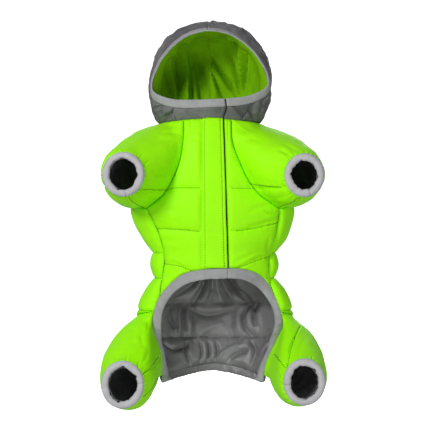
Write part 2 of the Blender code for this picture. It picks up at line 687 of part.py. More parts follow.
def limb_form(side, root, table, cuff, rows=LIMB_ROWS):
    """Grid and normals of a leg's cloth from its seam to its cuff."""
    clocks, seam = root
    wrapped = [row._replace(clock=row.clock - 360) for row in table[-2:]] + table
    wrapped = wrapped + [row._replace(clock=row.clock + 360) for row in table[:2]]
    names = ("out", "back", "up", "flare", "cuff_back")
    out, back, up, flare, cuff_back = read(wrapped, "clock", names, clocks)
    angle = np.radians(clocks)
    across, rise = side * np.sin(angle), np.cos(angle)
    flare = flare + cuff.full + cuff.sag * np.maximum(-rise, 0)
    end = np.stack([cuff.x + across * cuff.half_width, np.full(len(angle), float(cuff.y)),
                    cuff.z + rise * cuff.half_height], axis=-1)
    leave = seam + np.stack([side * out, back, up], axis=-1)
    arrive = end + np.stack([across * flare, cuff_back, rise * flare], axis=-1)
    grid = bezier(seam, leave, arrive, end, np.linspace(0, 1, rows)**0.9)
    for _ in range(LIMB_SOFTENING):
        beside = np.roll(grid, 1, axis=1) + np.roll(grid, -1, axis=1)
        grid[1:-1] = grid[1:-1] / 2 + beside[1:-1] / 4
    return grid, normals(grid, True)


def bezier(start, leave, arrive, end, steps):
    """Rows of points along cubic curves, one curve for each column."""
    t = np.asarray(steps)[:, None, None]
    return ((1 - t)**3 * start + 3 * (1 - t)**2 * t * leave
            + 3 * (1 - t) * t**2 * arrive + t**3 * end)


def limb(name, side, root, corners, table, cuff, cloth, lining, tape):
    """One leg of the garment: its padded cloth, its lining and its elastic cuff."""
    grid, face = limb_form(side, root, table, cuff)
    grid = inset(grid, face, True, ("top",))
    for corner in corners:
        grid[0, corner] += unit(grid[1, corner] - grid[0, corner]) * CORNER_GAP
    rows, columns = grid.shape[:2]
    along = np.linspace(0, 1, rows)[:, None]
    gathers = np.where(np.arange(columns) % 2, GATHER, 0.0) * np.clip(2 * along - 1, 0, 1)
    raised = LIMB_SWELL * np.sin(math.pi * along) + gathers
    cloth_wall(name, grid, face, cloth, raised=raised, closed=True)

    middle = grid.mean(axis=1, keepdims=True)
    deep = grid + unit(middle - grid) * LIMB_LINING_DEEP
    squeeze = 1 - (CUFF_TAPE - LINING) / cuff.half_width
    mouth = middle[-1] + (grid[-1] - middle[-1]) * squeeze + np.array([0, MOUTH_BACK, 0])
    inner = np.concatenate([deep[2:-1:2], mouth[None]])[:, ::2]
    cloth_wall(f"{name}_lining", inner, normals(inner, True), lining, LINING, closed=True)
    cuff_ring(f"{name}_cuff", cuff, tape)


def cuff_ring(name, cuff, material, count=24):
    """Elastic tape round a cuff, rolled from the gathers in to the mouth."""
    points, faces = [], []
    for turn in np.linspace(0, 2 * math.pi, count, endpoint=False):
        for inward, back in CUFF_SECTION:
            points.append((cuff.x + math.sin(turn) * (cuff.half_width - inward),
                           cuff.y - SEAM_GAP + back,
                           cuff.z + math.cos(turn) * (cuff.half_height - inward)))
    size = len(CUFF_SECTION)
    for i in range(count):
        a, b = i * size, (i + 1) % count * size
        for j in range(size):
            k = (j + 1) % size
            faces.append([a + j, b + j, b + k, a + k])
    return add_piece(name, points, faces, material)


# ---------------------------------------------------------------- hood

def hood_rim(turns, edge="cloth"):
    """Points round the face opening, by neck angle: the tape's sewn edge or free edge."""
    side = np.where(np.asarray(turns) < 0, LEFT, RIGHT)
    half, height, depth, free_half, free_height = read(
        HOOD_RIM, "turn", ("half", "height", "depth", "free_half", "free_height"),
        np.degrees(np.abs(turns)))
    seen = np.hypot(free_half - half, free_height - height)
    if edge == "free":
        forward = np.sqrt(np.maximum(HOOD_TAPE**2 - seen**2, 0))
        half, height, depth = free_half, free_height, depth - forward
    tilt = math.radians(HOOD_TILT)
    rise = height - HOOD_PIVOT
    x = side * half * math.cos(tilt) - rise * math.sin(tilt)
    z = side * half * math.sin(tilt) + rise * math.cos(tilt)
    return np.stack([HOOD_MIDDLE + x, depth, z + HOOD_PIVOT], axis=-1)


def hood_grid(turns, rows=HOOD_ROWS):
    """The hood's cloth from the neck seam to the tape, for signed neck angles."""
    neck, rim = trunk(turns, 0.0), hood_rim(turns)
    names = ("neck_out", "neck_up", "rim_out", "rim_back", "rim_up")
    neck_out, neck_up, rim_out, rim_back, rim_up = read(
        HOOD_PULL, "turn", names, np.degrees(np.abs(turns)))
    side = np.where(np.asarray(turns) < 0, LEFT, RIGHT)
    lean = HOOD_LEAN * np.sin(np.abs(turns) / 2)**3
    leave = neck + np.stack([np.sin(turns) * neck_out, -np.cos(turns) * neck_out, neck_up],
                            axis=-1)
    arrive = rim + np.stack([side * rim_out + lean, rim_back, rim_up], axis=-1)
    return bezier(neck, leave, arrive, rim, np.linspace(0, 1, rows))


def hood_columns():
    """Signed neck angles of the hood's columns, left collar first, and where pieces end."""
    band = math.radians(BAND_TURN)
    left_start = float(trunk_turn(FLAP_RIGHT + SEAM_GAP, 0.0))
    right_start = float(trunk_turn(FLAP_RIGHT + ZIP_OPEN, 0.0))
    parts = [np.linspace(left_start, -band, 8), np.linspace(-band, -math.pi, 14),
             np.linspace(math.pi, band, 14), np.linspace(band, right_start, 5)]
    columns = np.concatenate([parts[0]] + [part[1:] for part in parts[1:]])
    ends = np.cumsum([0] + [len(part) - 1 for part in parts])
    return columns, ends


def hood_lining(first, last, material, columns=27):
    """Lining of the hood between two neck angles; it hangs in upright folds at the back."""
    turns = np.concatenate([np.linspace(first, -math.pi, columns),
                            np.linspace(math.pi, last, columns)[1:]])
    grid = hood_grid(turns)
    face = normals(grid, False)
    heights = np.linspace(0, 1, len(grid))[:, None]
    degrees = np.degrees(turns) % 360
    hang = sum(fold.depth * np.exp(-((degrees - fold.turn) / fold.width)**2)
               for fold in LINING_FOLDS)
    sunk = inset(grid, face, False, ("top", "bottom"), 2 * SEAM_GAP)
    sunk = sunk - face * (CLOTH + LAYER_GAP + hang * np.sin(math.pi * heights))[..., None]
    cloth_wall("hood_lining", sunk, face, material, LINING)


def hood(shell_finish, lining_finish, tape_finish):
    """Hood: two collar bands, two shells, the lining, and the tape round the face."""
    turns, ends = hood_columns()
    grid = hood_grid(turns)
    face = normals(grid, False)
    names = ("collar_band_left", "hood_shell_left", "hood_shell_right", "collar_band_right")
    borders = (("last",), ("first", "last"), ("first", "last"), ("first",))
    for i, name in enumerate(names):
        part = slice(ends[i], ends[i + 1] + 1)
        panel = inset(grid[:, part], face[:, part], False, ("top", "bottom") + borders[i])
        cloth_wall(name, panel, face[:, part], material(shell_finish, name))

    hood_lining(turns[4], turns[ends[4] - 3], material(lining_finish, "hood_lining"))

    tape, tape_face = tape_form(grid[-1], face[-1], hood_rim(turns, "free"))
    for name, first, last in (("face_binding_left", 0, ends[2]),
                              ("face_binding_right", ends[2], ends[4])):
        part = slice(first, last + 1)
        tape_piece(name, tape[:, part], tape_face[:, part], material(tape_finish, name))


# ---------------------------------------------------------------- materials and assembly

Finish = namedtuple("Finish", "colour roughness")
FINISHES = {
    "green_nylon": Finish((0.35, 0.93, 0.01), 0.42),
    "grey_nylon": Finish((0.16, 0.16, 0.17), 0.35),
    "green_fleece": Finish((0.30, 0.80, 0.01), 0.85),
    "light_tape": Finish((0.42, 0.42, 0.43), 0.75),
    "dark_lining": Finish((0.02, 0.02, 0.022), 0.6),
    "grey_lining": Finish((0.13, 0.13, 0.135), 0.4),
    "zip_black": Finish((0.015, 0.03, 0.01), 0.6),
}


def material(name, label):
    """A Principled material of the named finish, one for each piece."""
    finish = FINISHES[name]
    made = bpy.data.materials.new(f"{label}_{name}")
    made.use_nodes = True
    shader = made.node_tree.nodes["Principled BSDF"]
    shader.inputs["Base Color"].default_value = (*finish.colour, 1.0)
    shader.inputs["Roughness"].default_value = finish.roughness
    shader.inputs["Metallic"].default_value = 0.0
    made.diffuse_color = (*finish.colour, 1.0)
    return made


def build():
    """Builds every piece of the jumpsuit."""
    for old in list(bpy.data.objects):
        bpy.data.objects.remove(old, do_unlink=True)
    bpy.context.scene.collection.children.link(bpy.data.collections.new(COLLECTION))

    back_panel(material("green_nylon", "back"))
    back_lining(material("grey_lining", "back_lining"))
    placket(material("green_nylon", "placket"))
    zip_tape(material("zip_black", "zip"))
    hem_casing(material("grey_lining", "hem"))
    hood("grey_nylon", "green_fleece", "light_tape")
    for side in (LEFT, RIGHT):
        word = side_name(side)
        chest_panel(side, material("green_nylon", f"chest_{word}"))
        belly_binding(side, material("light_tape", f"belly_tape_{word}"))
        for name, root, corners, table, place in (
                ("sleeve", sleeve_root(side), (), SLEEVE_LOFT, "front"),
                ("hind_leg", leg_root(side), (0, len(LEG_SEAM)), LEG_LOFT, "hind")):
            limb(f"{name}_{word}", side, root, corners, table, CUFFS[f"{place}_{word}"],
                 material("green_nylon", f"{name}_{word}"),
                 material("dark_lining", f"{name}_lining_{word}"),
                 material("light_tape", f"{name}_cuff_{word}"))


build()
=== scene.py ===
# %% [markdown]
# # A padded jumpsuit for a small dog
#
# The garment is cut from quilted nylon and sewn like a small overall: a back, two front
# panels, four short legs with elastic cuffs and a hood.  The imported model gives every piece
# its true form.  This lesson dresses those forms: each piece is made again as a fine shell
# of cloth on the same form, with its puffs, seams, folds, gathers and stitches in the mesh,
# and gets a finish that looks like the cloth it stands for.
#
# We start by loading the fixed frame.  Its box is kept, because cloth may stand a little
# proud of the solids but must never change the size of the part.

# %% Load the frame
import itertools
import math
from collections import namedtuple

import bpy
import numpy as np
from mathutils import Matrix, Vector


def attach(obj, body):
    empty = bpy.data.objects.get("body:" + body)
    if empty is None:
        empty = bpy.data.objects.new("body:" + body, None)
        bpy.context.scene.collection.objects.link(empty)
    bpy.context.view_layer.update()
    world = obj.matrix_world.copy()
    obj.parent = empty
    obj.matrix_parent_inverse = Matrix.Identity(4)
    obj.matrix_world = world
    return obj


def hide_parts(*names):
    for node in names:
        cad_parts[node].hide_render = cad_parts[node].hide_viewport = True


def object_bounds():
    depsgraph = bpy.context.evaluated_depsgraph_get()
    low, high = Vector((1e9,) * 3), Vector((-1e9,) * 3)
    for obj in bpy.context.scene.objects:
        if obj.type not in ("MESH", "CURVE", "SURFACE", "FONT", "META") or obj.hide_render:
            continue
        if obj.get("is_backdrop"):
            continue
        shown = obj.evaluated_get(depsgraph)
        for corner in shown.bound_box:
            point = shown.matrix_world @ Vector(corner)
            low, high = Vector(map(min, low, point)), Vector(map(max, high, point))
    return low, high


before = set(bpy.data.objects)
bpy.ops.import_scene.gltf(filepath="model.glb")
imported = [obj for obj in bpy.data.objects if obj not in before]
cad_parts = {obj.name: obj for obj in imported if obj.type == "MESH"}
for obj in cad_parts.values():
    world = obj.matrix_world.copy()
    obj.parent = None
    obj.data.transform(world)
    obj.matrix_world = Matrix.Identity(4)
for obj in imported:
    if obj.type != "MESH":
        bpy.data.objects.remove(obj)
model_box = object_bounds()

MM = 0.001                      # the tables below are in millimetres
LEFT, RIGHT = -1, 1             # sides as seen from the belly
print("frame nodes:", len(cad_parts))
print("box in mm:", [[round(v * 1000, 1) for v in corner] for corner in model_box])

# %% [markdown]
# ## Studio
#
# The suit is shown from the belly side on white, with wide soft light and almost no shadow.
# A white floor with a white wall all round it gives that look.  Both only meet the camera:
# the light on the cloth comes from a pale sky and three large soft lamps, so that creases
# keep their shade: the key lamp high on the left, a fill low in front and one behind.  The
# colours must stay as bright as they are, so the view is left plain.

# %% Camera
CAMERA_AT = (4.6, -1800.0, -127.4)
WIDTH_SEEN = 571.6              # millimetres across the picture at the garment's middle
SENSOR = 36.0

camera = bpy.data.objects.new("camera", bpy.data.cameras.new("camera"))
camera.location = [value * MM for value in CAMERA_AT]
camera.rotation_euler = (math.pi / 2, 0, 0)
camera.data.sensor_width = SENSOR
camera.data.lens = SENSOR * -CAMERA_AT[1] / WIDTH_SEEN
camera.data.clip_end = 50
bpy.context.scene.collection.objects.link(camera)
bpy.context.scene.camera = camera
bpy.context.scene.view_settings.view_transform = "Standard"
print("lens in mm:", round(camera.data.lens, 1))

# %% Light
SKY = 0.34
Lamp = namedtuple("Lamp", "name place aim size power")
LAMPS = [
    Lamp("key_lamp", (-0.95, -1.4, 0.55), (0, 0, -0.12), 0.5, 20.0),
    Lamp("fill_lamp", (0.45, -1.6, -0.95), (0, 0, -0.2), 0.8, 9.0),
    Lamp("back_lamp", (0.2, 1.8, 0.4), (0, 0, -0.12), 1.2, 14.0),
]

sky = bpy.data.worlds.new("studio_sky")
sky.use_nodes = True
sky.node_tree.nodes["Background"].inputs["Color"].default_value = (1, 1, 1, 1)
sky.node_tree.nodes["Background"].inputs["Strength"].default_value = SKY
bpy.context.scene.world = sky

for lamp in LAMPS:
    light = bpy.data.lights.new(lamp.name, "AREA")
    light.shape, light.size, light.energy = "DISK", lamp.size, lamp.power
    holder = bpy.data.objects.new(lamp.name, light)
    holder.location = lamp.place
    holder.rotation_mode = "QUATERNION"
    direction = Vector(np.array(lamp.aim) - np.array(lamp.place))
    holder.rotation_quaternion = direction.to_track_quat("-Z", "Y")
    bpy.context.scene.collection.objects.link(holder)
print("lamps:", ", ".join(lamp.name for lamp in LAMPS))

# %% Floor and wall
FLOOR_AT, FLOOR_REACH, WALL_TOP = -0.40, 6.0, 6.0
MIDDLE_HOLE, FLAT_SHARE, BEND = 0.001, 0.9, 0.6
STUDIO_SIDES = 48

white = bpy.data.materials.new("studio_white")
white.use_nodes = True
shader = white.node_tree.nodes["Principled BSDF"]
shader.inputs["Base Color"].default_value = (0.9, 0.9, 0.9, 1)
shader.inputs["Emission Color"].default_value = (1, 1, 1, 1)
shader.inputs["Emission Strength"].default_value = 1.0


def new_object(name, points, faces, finishes):
    """A smooth mesh, put into the scene."""
    mesh = bpy.data.meshes.new(name)
    mesh.from_pydata(points, [], faces)
    for finish in finishes:
        mesh.materials.append(finish)
    mesh.shade_smooth()
    made = bpy.data.objects.new(name, mesh)
    bpy.context.scene.collection.objects.link(made)
    return made


def studio():
    """A round white floor whose edge runs up into a wall and a ceiling."""
    turns = np.linspace(0, 2 * math.pi, STUDIO_SIDES, endpoint=False)
    flat = FLOOR_REACH * FLAT_SHARE
    profile = [(MIDDLE_HOLE, FLOOR_AT), (flat, FLOOR_AT), (FLOOR_REACH, FLOOR_AT + BEND),
               (FLOOR_REACH, WALL_TOP - BEND), (flat, WALL_TOP), (MIDDLE_HOLE, WALL_TOP)]
    points = [(radius * math.cos(turn), radius * math.sin(turn), height)
              for radius, height in profile for turn in turns]
    index = np.arange(len(points)).reshape(len(profile), STUDIO_SIDES)
    after = np.roll(index, -1, axis=1)
    faces = np.stack([index[:-1], after[:-1], after[1:], index[1:]], axis=-1)
    return new_object("studio", points, faces.reshape(-1, 4).tolist(), [white])


floor = studio()
for kind in ("diffuse", "glossy", "transmission", "shadow"):
    setattr(floor, f"visible_{kind}", False)
floor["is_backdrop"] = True
print("floor at", FLOOR_AT, "m")

# %% [markdown]
# ## The pattern
#
# A tailor keeps a garment's shape in its pattern.  Ours is a set of tables: rings of the
# trunk, the seam lines on it, the edge of the belly opening, the hood's rim and the cuffs.
# They are the same as those of the solids, so a piece that is made from them lies where its
# solid lies and needs no fitting.

# %% Rings of the trunk and its seams
def table(names, *rows):
    """A table whose columns have names."""
    row = namedtuple("Row", names)
    return [row(*values) for values in rows]


CLOTH, LINING, TAPE, HEM_WALL = 2.0, 1.2, 2.4, 3.0
PUFF, CHEST_PUFF, PUFF_RISE = 4.2, 3.4, 9.0
TAPE_WIDTH, HEM_WIDTH, HEM_PULL, HEM_DROP = 12.5, 11.5, 2.0, 323.0
NECK_DIP, NECK_RISE, NECK_FADE = 5.0, 7.0, 45.0
UNDERARM, LEG_TOP, LEG_BOTTOM = 117.0, 250.0, 337.0

TRUNK = table(
    "drop left right belly back",
    (0, -72, 62, 37, 46), (30, -79, 73, 48, 60), (60, -89, 84, 54, 67), (90, -98, 96, 57, 70),
    (117, -106, 104, 57, 69), (137, -100, 100, 56, 65), (155, -90, 94, 54, 60),
    (175, -79, 82, 51, 56), (190, -79, 83, 51, 54), (208, -77, 81, 50, 54), (226, -86, 92, 49, 56),
    (248, -97, 102, 47, 57), (270, -98, 102, 43, 57), (295, -90, 92, 35, 53),
    (320, -77, 78, 30, 46), (338, -70, 69.5, 24, 39), (350, -67.5, 66.5, 21, 35))
FRONT_SEAM = table(
    "drop left right",
    (0, -38.5, 24.5), (30, -39.0, 25.5), (60, -44.5, 36.0), (85, -55.5, 49.0), (103, -68.0, 65.0),
    (UNDERARM, -86.5, 86.0))
SIDE_SEAM = table(
    "drop left right",
    (UNDERARM, -86.5, 86.0), (130, -79.0, 85.5), (147, -71.5, 82.5), (165, -66.0, 77.5),
    (185, -64.0, 73.8), (205, -66.5, 74.0), (229, -69.5, 79.8))
BACK_RAGLAN = table(
    "drop angle",
    (0, 32), (18, 34), (35, 37), (52, 42), (70, 48), (84, 55), (96, 63), (105, 74), (111, 89),
    (115, 107))
LEG_SEAM = table(
    "drop angle",
    (252, 117), (254.5, 104), (258, 92), (263, 82), (271, 75), (283, 71), (296, 69), (309, 70),
    (320, 76), (330, 88), (LEG_BOTTOM, 103))
OPENING = table(
    "out_left out_right out_drop in_left in_right in_drop",
    (19.0, 19.0, 193.4, 19.0, 19.0, 206.6), (-9.0, 38.0, 195.0, -9.0, 36.0, 207.9),
    (-34.0, 54.0, 199.5, -30.0, 48.0, 212.5), (-48.0, 66.0, 207.5, -44.0, 59.0, 220.0),
    (-61.0, 75.0, 220.0, -56.0, 69.0, 232.0), (-71.0, 82.0, 234.0, -63.0, 76.5, 244.5),
    (-77.0, 88.0, LEG_TOP, -66.8, 80.2, 257.5), (-79.5, 92.0, 268.0, -67.6, 80.2, 273.0),
    (-75.5, 86.0, 284.0, -67.4, 75.0, 288.0), (-69.5, 78.0, 300.0, -65.6, 71.5, 303.0),
    (-67.0, 70.0, 319.0, -62.6, 64.5, 318.0), (-67.5, 67.0, LEG_BOTTOM, -59.0, 59.0, 331.0))
LEG_TOP_STATION = 6             # the opening's row at which a hind leg begins
BACK_LINES = [0, 35, 70, 105, 175, 208, 250, 296, LEG_BOTTOM]
SIDE_ROWS = [UNDERARM, 125, 133, 140, 151, 163, 175, 186, 197, 208, 218, 229]
CHEST = table(
    "centre side rows",
    (0, 0, 0), (91, 91, 7), (112, UNDERARM, 3), (146, 140, 3), (188, 186, 4))
FLAP_LEFT, FLAP_RIGHT, FLAP_LEAN, FLAP_LENGTH = -13.0, 12.5, 6.0, 193.4
FLAP, FLAP_LIFT, ZIP_OPEN = 1.8, 0.7, 2.2
print("trunk rings:", len(TRUNK), " opening stations:", len(OPENING))

# %% Hood, legs and cuffs
HOOD_RIM = table(
    "turn half height depth free_half free_height",
    (0, 0, 13.0, -45.0, 0, 23.5), (18, 22, 13.2, -43.0, 21, 23.8), (36, 44, 15.0, -37.0, 43, 25.5),
    (52, 62, 20.0, -30.0, 60.5, 30.0), (68, 75.5, 29.5, -22.0, 74.2, 37.5),
    (84, 78.0, 44.0, -16.0, 76.6, 46.5), (102, 74.0, 62.5, -14.0, 71.8, 63.0),
    (122, 62.5, 84.5, -15.0, 59.5, 83.5), (145, 38.5, 107.5, -18.0, 36.4, 104.2),
    (163, 19.0, 116.4, -20.0, 18.0, 112.2), (180, 0, 119.4, -21.0, 0, 115.0))
HOOD_MIDDLE, HOOD_TILT, HOOD_PIVOT, HOOD_LEAN = -4.6, 2.6, 60.0, 7.0
HOOD_TAPE, BAND_TURN = 10.5, 40.0
HOOD_PULL = table(
    "turn neck_out neck_up rim_out rim_back rim_up",
    (0, 0, 4, 0, 2, -4), (36, 3, 5, 3, 3, -5), (60, 8, 10, 5, 8, -6), (85, 9, 18, 5, 22, 0),
    (110, 15, 40, 13, 40, 12), (140, 42, 76, 23, 50, 29), (180, 62, 102, 0, 58, 39))
CUFFS = dict(zip(("front_left", "front_right", "hind_left", "hind_right"), table(
    "x y z half_width half_height full sag",
    (-111.4, -100, -74.8, 26.0, 27.5, 3.0, 2.0), (114.2, -100, -76.0, 24.5, 27.0, 1.5, -3.5),
    (-112.4, -100, -337.0, 26.5, 29.5, 4.0, 2.0), (114.2, -100, -333.5, 26.0, 29.0, 2.0, 2.5))))
CUFF_TAPE = 8.6
CUFF_SECTION = [
    (-0.4, -0.2), (0.3, -2.8), (2.4, -4.6), (5.6, -5.0), (8.0, -3.4), (CUFF_TAPE, -0.6),
    (7.6, 1.2), (6.0, -0.8), (3.0, -0.4),
]
SLEEVE_LOFT = table(
    "clock out back up flare cuff_back",
    (-50, 12, -6, -15, 8, 18), (-5, 22, -4, -9, 10, 28), (40, 40, 4, -9, 15, 42),
    (90, 50, -8, -2, 13, 48), (140, 24, -18, 2, 8, 34), (195, 10, -20, -2, 7, 22),
    (250, 12, -14, -2, 6, 16))
LEG_LOFT = table(
    "clock out back up flare cuff_back",
    (-45, 9, -14, -16, 10, 20), (0, 19, -8, -13, 14, 32), (45, 28, 4, -10, 17, 42),
    (90, 42, 8, -8, 15, 50), (140, 26, 8, -24, 15, 46), (185, 8, -6, -24, 14, 34),
    (205, 6, -12, -18, 13, 26), (260, 4, -18, -8, 8, 18))
NECK_CLOCKS, UNDERARM_CLOCK, LEG_CLOCKS = (-50, 40), 195, (-45, 200)
NECK_COLUMNS, LEG_EDGE_COLUMNS, BACK_COLUMNS, LINING_COLUMNS = 7, 9, 23, 17
LIMB_ROWS, LIMB_SOFTENING, LIMB_SWELL = 9, 3, 3.4
print("cuffs:", ", ".join(CUFFS))

# %% [markdown]
# ## Reading the pattern
#
# Each table is read as a smooth curve through its rows, the way a flexible ruler joins
# pattern marks.  `trunk` turns an angle round the body and a drop below the neck seam into
# a point, and the seams and the opening are lines on it.

# %% Smooth curves
def smooth(knots, values, at):
    """Smooth curve through the values at rising knots, read at the given places."""
    knots, values = np.asarray(knots, float), np.asarray(values, float)
    at = np.asarray(at, float)
    slopes = np.gradient(values, knots, axis=0)
    i = np.clip(np.searchsorted(knots, at, side="right") - 1, 0, len(knots) - 2)
    step = knots[i + 1] - knots[i]
    f = (at - knots[i]) / step
    if values.ndim == 2:
        step, f = step[..., None], f[..., None]
    return ((2 * f**3 - 3 * f**2 + 1) * values[i] + (3 * f**2 - 2 * f**3) * values[i + 1]
            + (f**3 - 2 * f**2 + f) * step * slopes[i] + (f**3 - f**2) * step * slopes[i + 1])


def column(table, name):
    """One named column of a table."""
    return [getattr(row, name) for row in table]


def read(table, key, names, at):
    """Named columns of a table, read smoothly by its key column; one array each."""
    values = [[getattr(row, name) for name in names] for row in table]
    return np.moveaxis(smooth(column(table, key), values, at), -1, 0)


def unit(vectors):
    """Vectors scaled to length one."""
    return vectors / np.maximum(np.linalg.norm(vectors, axis=-1, keepdims=True), 1e-9)


def near(way, width, power=2):
    """1 on a line, fading to 0 over about a width."""
    return np.exp(-(way / width)**power)


def passed(line):
    """Way covered along a line at each of its points."""
    return np.concatenate([[0], np.cumsum(np.linalg.norm(np.diff(line, axis=0), axis=1))])


def side_name(side):
    """Word for a side."""
    return "left" if side == LEFT else "right"


print("waist, right of the middle:", round(float(read(TRUNK, "drop", ("right",), 180.0)[0])), "mm")

# %% Points on the trunk
def trunk(turn, drop):
    """Points of the trunk's form: turn in radians from mid front, drop below the neck."""
    turn, drop = np.broadcast_arrays(np.asarray(turn, float), np.asarray(drop, float))
    left, right, belly, back = read(TRUNK, "drop", ("left", "right", "belly", "back"), drop)
    dip = NECK_DIP * np.sin(turn)**2 - NECK_RISE * np.maximum(-np.cos(turn), 0)**2
    fade = np.clip(1 - drop / NECK_FADE, 0, 1)**2
    x = (left + right) / 2 + (right - left) / 2 * np.sin(turn)
    y = -np.where(np.cos(turn) > 0, belly, back) * np.cos(turn)
    return np.stack([x, y, -(drop + dip * fade)], axis=-1)


def trunk_face(turn, drop):
    """Outward normals of the trunk's form."""
    step = 0.01                 # radians and millimetres between two neighbours
    around = trunk(turn + step, drop) - trunk(turn - step, drop)
    down = trunk(turn, np.asarray(drop) + step) - trunk(turn, np.maximum(drop, step) - step)
    return unit(np.cross(down, around))


def on_trunk(turn, drop):
    """Points of the trunk's form and the outward directions there."""
    return trunk(turn, drop), trunk_face(turn, drop)


def trunk_turn(x, drop):
    """Turn of the place on the belly side of the trunk that lies at x."""
    left, right = read(TRUNK, "drop", ("left", "right"), drop)
    return np.arcsin(np.clip((np.asarray(x) - (left + right) / 2) / ((right - left) / 2), -1, 1))

# %% Seam lines and the belly opening
def seam_x(side, drop):
    """The front seam's place across, at a drop: raglan above the underarm, side seam below."""
    raglan = read(FRONT_SEAM, "drop", (side_name(side),), np.minimum(drop, UNDERARM))[0]
    below = read(SIDE_SEAM, "drop", (side_name(side),), np.maximum(drop, UNDERARM))[0]
    return np.where(np.asarray(drop) <= UNDERARM, raglan, below)


def opening(side, station, edge="out"):
    """Across and drop of the belly opening's edge, by station along its table."""
    values = [[getattr(row, f"{edge}_{side_name(side)}"), getattr(row, f"{edge}_drop")]
              for row in OPENING]
    return np.moveaxis(smooth(np.arange(len(OPENING)), values, station), -1, 0)


def opening_station(drop):
    """Station of the opening's outer edge at a drop on its lower, steep part."""
    return np.interp(drop, column(OPENING, "out_drop"), np.arange(len(OPENING)))


def arch_station(side, x):
    """Station of the opening's outer edge under the chest, at a place across."""
    fine = np.linspace(0, LEG_TOP_STATION, 121)
    return np.interp(side * np.asarray(x), side * opening(side, fine)[0], fine)


def back_reach(side, drop):
    """Angle from mid back to the back panel's side edge at one row."""
    if drop < UNDERARM or drop > LEG_TOP:
        seam = BACK_RAGLAN if drop < UNDERARM else LEG_SEAM
        return math.radians(np.interp(drop, column(seam, "drop"), column(seam, "angle")))
    if drop <= SIDE_SEAM[-1].drop:
        x = seam_x(side, drop)
    else:
        x = opening(side, opening_station(drop))[0]
    return math.pi - abs(float(trunk_turn(x, drop)))


def flap_edge(drop):
    """Place across of the placket's free edge."""
    return FLAP_RIGHT + FLAP_LEAN * np.clip(np.asarray(drop) / FLAP_LENGTH, 0, 1)


print("waist is", round(float(np.ptp(trunk(np.linspace(-3, 3, 90), 180.0)[:, 0]))), "mm wide")

# %% [markdown]
# ## Cloth tools
#
# Real cloth is a thin shell: an outer face, an inner face about two millimetres behind it
# and a rim where it was cut.  A modelling program could thicken a surface for us, but then
# a seam can't be rolled in neatly.  Here a piece is a grid of points laid on its form; the
# rows crowd together beside a seam, where the cloth turns over sharply.

# %% Grids of points
SEAM_STEPS = (0.35, 0.8, 1.5)   # extra rows beside a seam, in millimetres from it
FEWEST_STEPS = 6


def fine_steps(length, spacing, tight=(True, True)):
    """Shares of a length at an even spacing, closer together beside a seam."""
    count = max(int(round(length / spacing)), FEWEST_STEPS)
    steps = np.linspace(0, 1, count + 1)
    near = np.array(SEAM_STEPS) / length
    clear = near[-1] + 0.5 / count
    keep = (steps <= 0) | (steps > clear * tight[0])
    keep &= (steps >= 1) | (steps < 1 - clear * tight[1])
    parts = [steps[keep]] + [near] * tight[0] + [1 - near] * tight[1]
    return np.unique(np.concatenate(parts))


def with_marks(values, marks, clear):
    """Rising values with marks put among them; values too near a mark give way."""
    marks = np.asarray(marks, float)
    far = np.min(np.abs(values[:, None] - marks[None]), axis=1) > clear
    return np.unique(np.concatenate([values[far], marks]))


def respread(values, at, axis=0):
    """A grid read smoothly at fractional row or column numbers."""
    moved = np.moveaxis(np.asarray(values, float), axis, 0)
    flat = moved.reshape(len(moved), -1)
    spread = smooth(np.arange(len(moved)), flat, at)
    return np.moveaxis(spread.reshape(len(at), *moved.shape[1:]), 0, axis)


def normals(grid, closed, toward=None):
    """Soft outward normals of a grid: away from each row's middle, or toward a direction."""
    if closed:
        across = np.roll(grid, -1, axis=1) - np.roll(grid, 1, axis=1)
    else:
        across = np.gradient(grid, axis=1)
    face = unit(np.cross(np.gradient(grid, axis=0), across))
    away = grid - grid.mean(axis=1, keepdims=True) if toward is None else np.array(toward)
    return face * np.sign(np.sum(face * away))


def border_ways(grid):
    """How far each point lies from the top, bottom, first and last border of its grid."""
    down, across = np.zeros(grid.shape[:2]), np.zeros(grid.shape[:2])
    down[1:] = np.cumsum(np.linalg.norm(np.diff(grid, axis=0), axis=2), axis=0)
    across[:, 1:] = np.cumsum(np.linalg.norm(np.diff(grid, axis=1), axis=2), axis=1)
    return {"top": down, "bottom": down[-1:] - down,
            "first": across, "last": across[:, -1:] - across}


def closest(ways, *borders):
    """Distance to the nearest of the named borders."""
    return np.min([ways[border] for border in borders], axis=0)


print("extra rows beside a seam:", SEAM_STEPS)

# %% A shell of cloth
SHARP = 62.0                    # edges that turn by more degrees than this stay crisp


def shell_faces(rows, columns, closed):
    """Faces of a closed shell over two layers of points, and how many lie on each layer."""
    index = np.arange(rows * columns).reshape(rows, columns)
    if closed:
        index = np.concatenate([index, index[:, :1]], axis=1)
    outer = np.stack([index[:-1, :-1], index[:-1, 1:], index[1:, 1:], index[1:, :-1]], axis=-1)
    outer = outer.reshape(-1, 4)
    layer = rows * columns
    rims = [(index[0, 1:], index[0, :-1]), (index[-1, :-1], index[-1, 1:])]
    if not closed:
        rims += [(index[:-1, 0], index[1:, 0]), (index[1:, -1], index[:-1, -1])]
    walls = [np.stack([a, b, b + layer, a + layer], axis=-1) for a, b in rims]
    return np.concatenate([outer, outer[:, ::-1] + layer] + walls), len(outer)


def add_mesh(name, points, faces, finishes):
    """Adds a closed mesh of quads in millimetres to the scene, its faces pointing out."""
    corners = points[faces]
    spans = np.cross(corners[:, 2] - corners[:, 0], corners[:, 3] - corners[:, 1])
    if np.sum(corners.mean(axis=1) * spans) < 0:
        faces = faces[:, ::-1]
    piece = new_object(name, (points * MM).tolist(), faces.tolist(), finishes)
    piece.data.set_sharp_from_angle(angle=math.radians(SHARP))
    return piece


